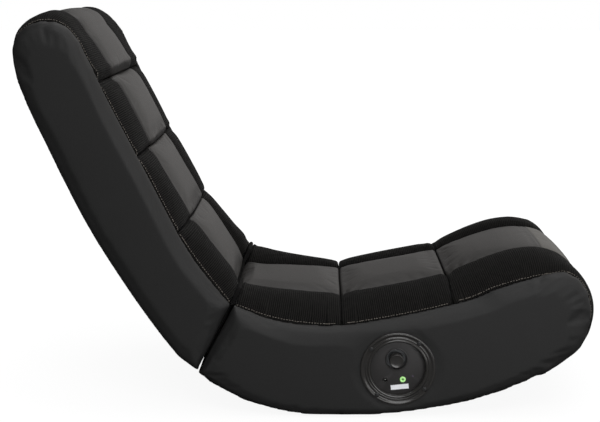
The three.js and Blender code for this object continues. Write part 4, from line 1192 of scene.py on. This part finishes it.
for k, (x, z) in enumerate(SCREWS):
    screw = turned(f"screw_{k + 1}", HEAD, (x, z), painted_steel, "seat", steps=32, soften=0.1)
    for turn in (0.4 + k, 0.4 + k + math.pi / 2):
        bpy.ops.object.select_all(action="DESELECT")
        bpy.ops.mesh.primitive_cube_add(
            size=1, location=(x * MM, (FACE - HEAD_TOP) * MM, z * MM), rotation=(0, turn, 0),
            scale=(3.8 * MM, 2.2 * MM, 0.7 * MM),
        )
        cut_away(screw, bpy.context.object)
    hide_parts(f"bezel_screw_{k + 1}")
print("bezel:", len(bezel.data.polygons), "faces, held by", len(SCREWS), "screws")

# %% [markdown]
# ## Plate
# The plate lies deep in the bezel. It has a wide bore for the knob, two for the sockets and a small one
# for the lamp, so that each is a real hole with something in it. Heights are in front of the chair's side,
# so what lies deep in the bezel has negative ones.

# %% The plate
KNOB, LINE_IN = middle_of("volume_knob"), middle_of("line_in_jack")
POWER, LAMP = middle_of("dc_power_jack"), middle_of("status_led")
PLATE_DEPTH = 7.3
PLATE = [(0, -PLATE_DEPTH), (45.5, -PLATE_DEPTH), (45.5, -11.2), (0, -11.2)]
plate = turned("plate", PLATE, PANEL, plate_plastic, "seat", steps=128, soften=0.3)
bored(plate, [KNOB], radius=15.5, front=-6, back=-12.5, sides=96)
bored(plate, [LINE_IN, POWER], radius=3.2, front=-6, back=-12, sides=32)
bored(plate, [LAMP], radius=1.5, front=-6, back=-12, sides=24)
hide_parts("control_plate")
print("plate:", len(plate.data.polygons), "faces")

# %% [markdown]
# ## Knob
# The knob is a hollow cap with a slightly dished top and a rounded rim, and it rides on a body of its own,
# because it turns. A raised lip round its bore throws a thin ring of light.

# %% The knob and its lip
CAP = [
    (0, 3.4), (6.0, 3.55), (8.6, 3.9), (9.7, 4.3), (10.4, 4.0), (10.8, 3.1), (11.2, -8.6), (8.9, -8.6),
    (8.9, 1.4), (0, 1.4),
]
knob = turned("knob_cap", CAP, KNOB, bezel_plastic, "volume_control", soften=0.15)
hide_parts("volume_knob")
LIP = [
    (15.5, -11.2), (15.2, -8.0), (15.5, -7.0), (16.3, -6.5), (17.1, -6.7), (17.5, -7.25), (16.4, -7.25),
    (15.9, -8.0),
]
turned("knob_well_lip", LIP, KNOB, plate_plastic, "seat", soften=0)
print("knob:", len(knob.data.polygons), "faces")

# %% [markdown]
# ## Sockets and lamp
# A green socket takes the sound lead and a black one the power lead, with a pin inside. Both are rings
# with a deep bore, because a dark disc would look painted on. The lamp is a small domed lens.

# %% The sockets and the lamp
SOCKET = [
    (1.8, -5.9), (2.3, -5.8), (4.0, -5.8), (4.5, -6.3), (4.5, -7.25), (3.1, -7.25), (3.1, -19), (1.8, -19),
]
line_in = turned("line_in_ring", SOCKET, LINE_IN, socket_green, "seat", steps=48, soften=0.12)
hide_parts("line_in_jack")
INLET = [
    (2.8, -5.9), (3.2, -5.8), (3.9, -5.8), (4.2, -6.2), (4.2, -7.25), (3.1, -7.25), (3.1, -19), (2.8, -19),
]
inlet = turned("power_inlet", INLET, POWER, bezel_plastic, "seat", steps=48, soften=0.12)
PIN = [(0, -7.8), (0.8, -7.9), (1.0, -8.4), (1.0, -18.8), (0, -18.8)]
turned("power_pin", PIN, POWER, bright_steel, "seat", steps=24, soften=0.08)
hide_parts("dc_power_jack")
LENS = [(0, -5.9), (0.8, -6.0), (1.3, -6.5), (1.45, -7.2), (1.45, -12), (0, -12)]
lens = turned("lamp", LENS, LAMP, lamp_lens, "seat", steps=32, soften=0.08)
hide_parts("status_led")
print("set in the plate:", [piece.name for piece in (line_in, inlet, lens)])

# %% [markdown]
# ## Label and ticks
# A blank white label is stuck to the plate below the sockets, and fine raised ticks round the knob show
# which way it turns. Each is a thin block with rounded corners.

# %% Thin blocks on the plate
def chip(name, centre, size, turn, finish, thick=0.25, corner=0.6):
    """A thin block with rounded corners that lies on the plate, at a centre in millimetres."""
    bpy.ops.object.select_all(action="DESELECT")
    bpy.ops.mesh.primitive_cube_add(
        size=1, location=(centre[0] * MM, (FACE + PLATE_DEPTH - thick / 2) * MM, centre[1] * MM),
        rotation=(0, turn, 0), scale=(size[0] * MM, thick * MM, size[1] * MM),
    )
    piece = bpy.context.object
    piece.name = name
    bpy.ops.object.transform_apply(location=True, rotation=True, scale=True)
    bpy.ops.object.mode_set(mode="EDIT")
    mesh = bmesh.from_edit_mesh(piece.data)
    for edge in mesh.edges:
        edge.select = abs((edge.verts[0].co - edge.verts[1].co).y) > thick * MM * 0.9
    mesh.select_flush(False)
    bmesh.update_edit_mesh(piece.data)
    bpy.ops.mesh.bevel(offset=corner * MM, segments=4, affect="EDGES")
    bpy.ops.object.mode_set(mode="OBJECT")
    finished(piece, finish, "seat")


chip("blank_label", (97.6, 47.2), (27, 7.4), math.radians(-6), blank_label)
TICKS, TICKS_OUT = 7, 17.6
for k in range(TICKS):
    turn = math.radians(-135 + 45 * k)
    tick_at = (KNOB[0] + TICKS_OUT * math.sin(turn), KNOB[1] + TICKS_OUT * math.cos(turn))
    chip(f"tick_{k + 1}", tick_at, (0.5, 1.6), turn, plate_plastic, thick=0.2, corner=0.15)
print("a blank label and", TICKS, "ticks")
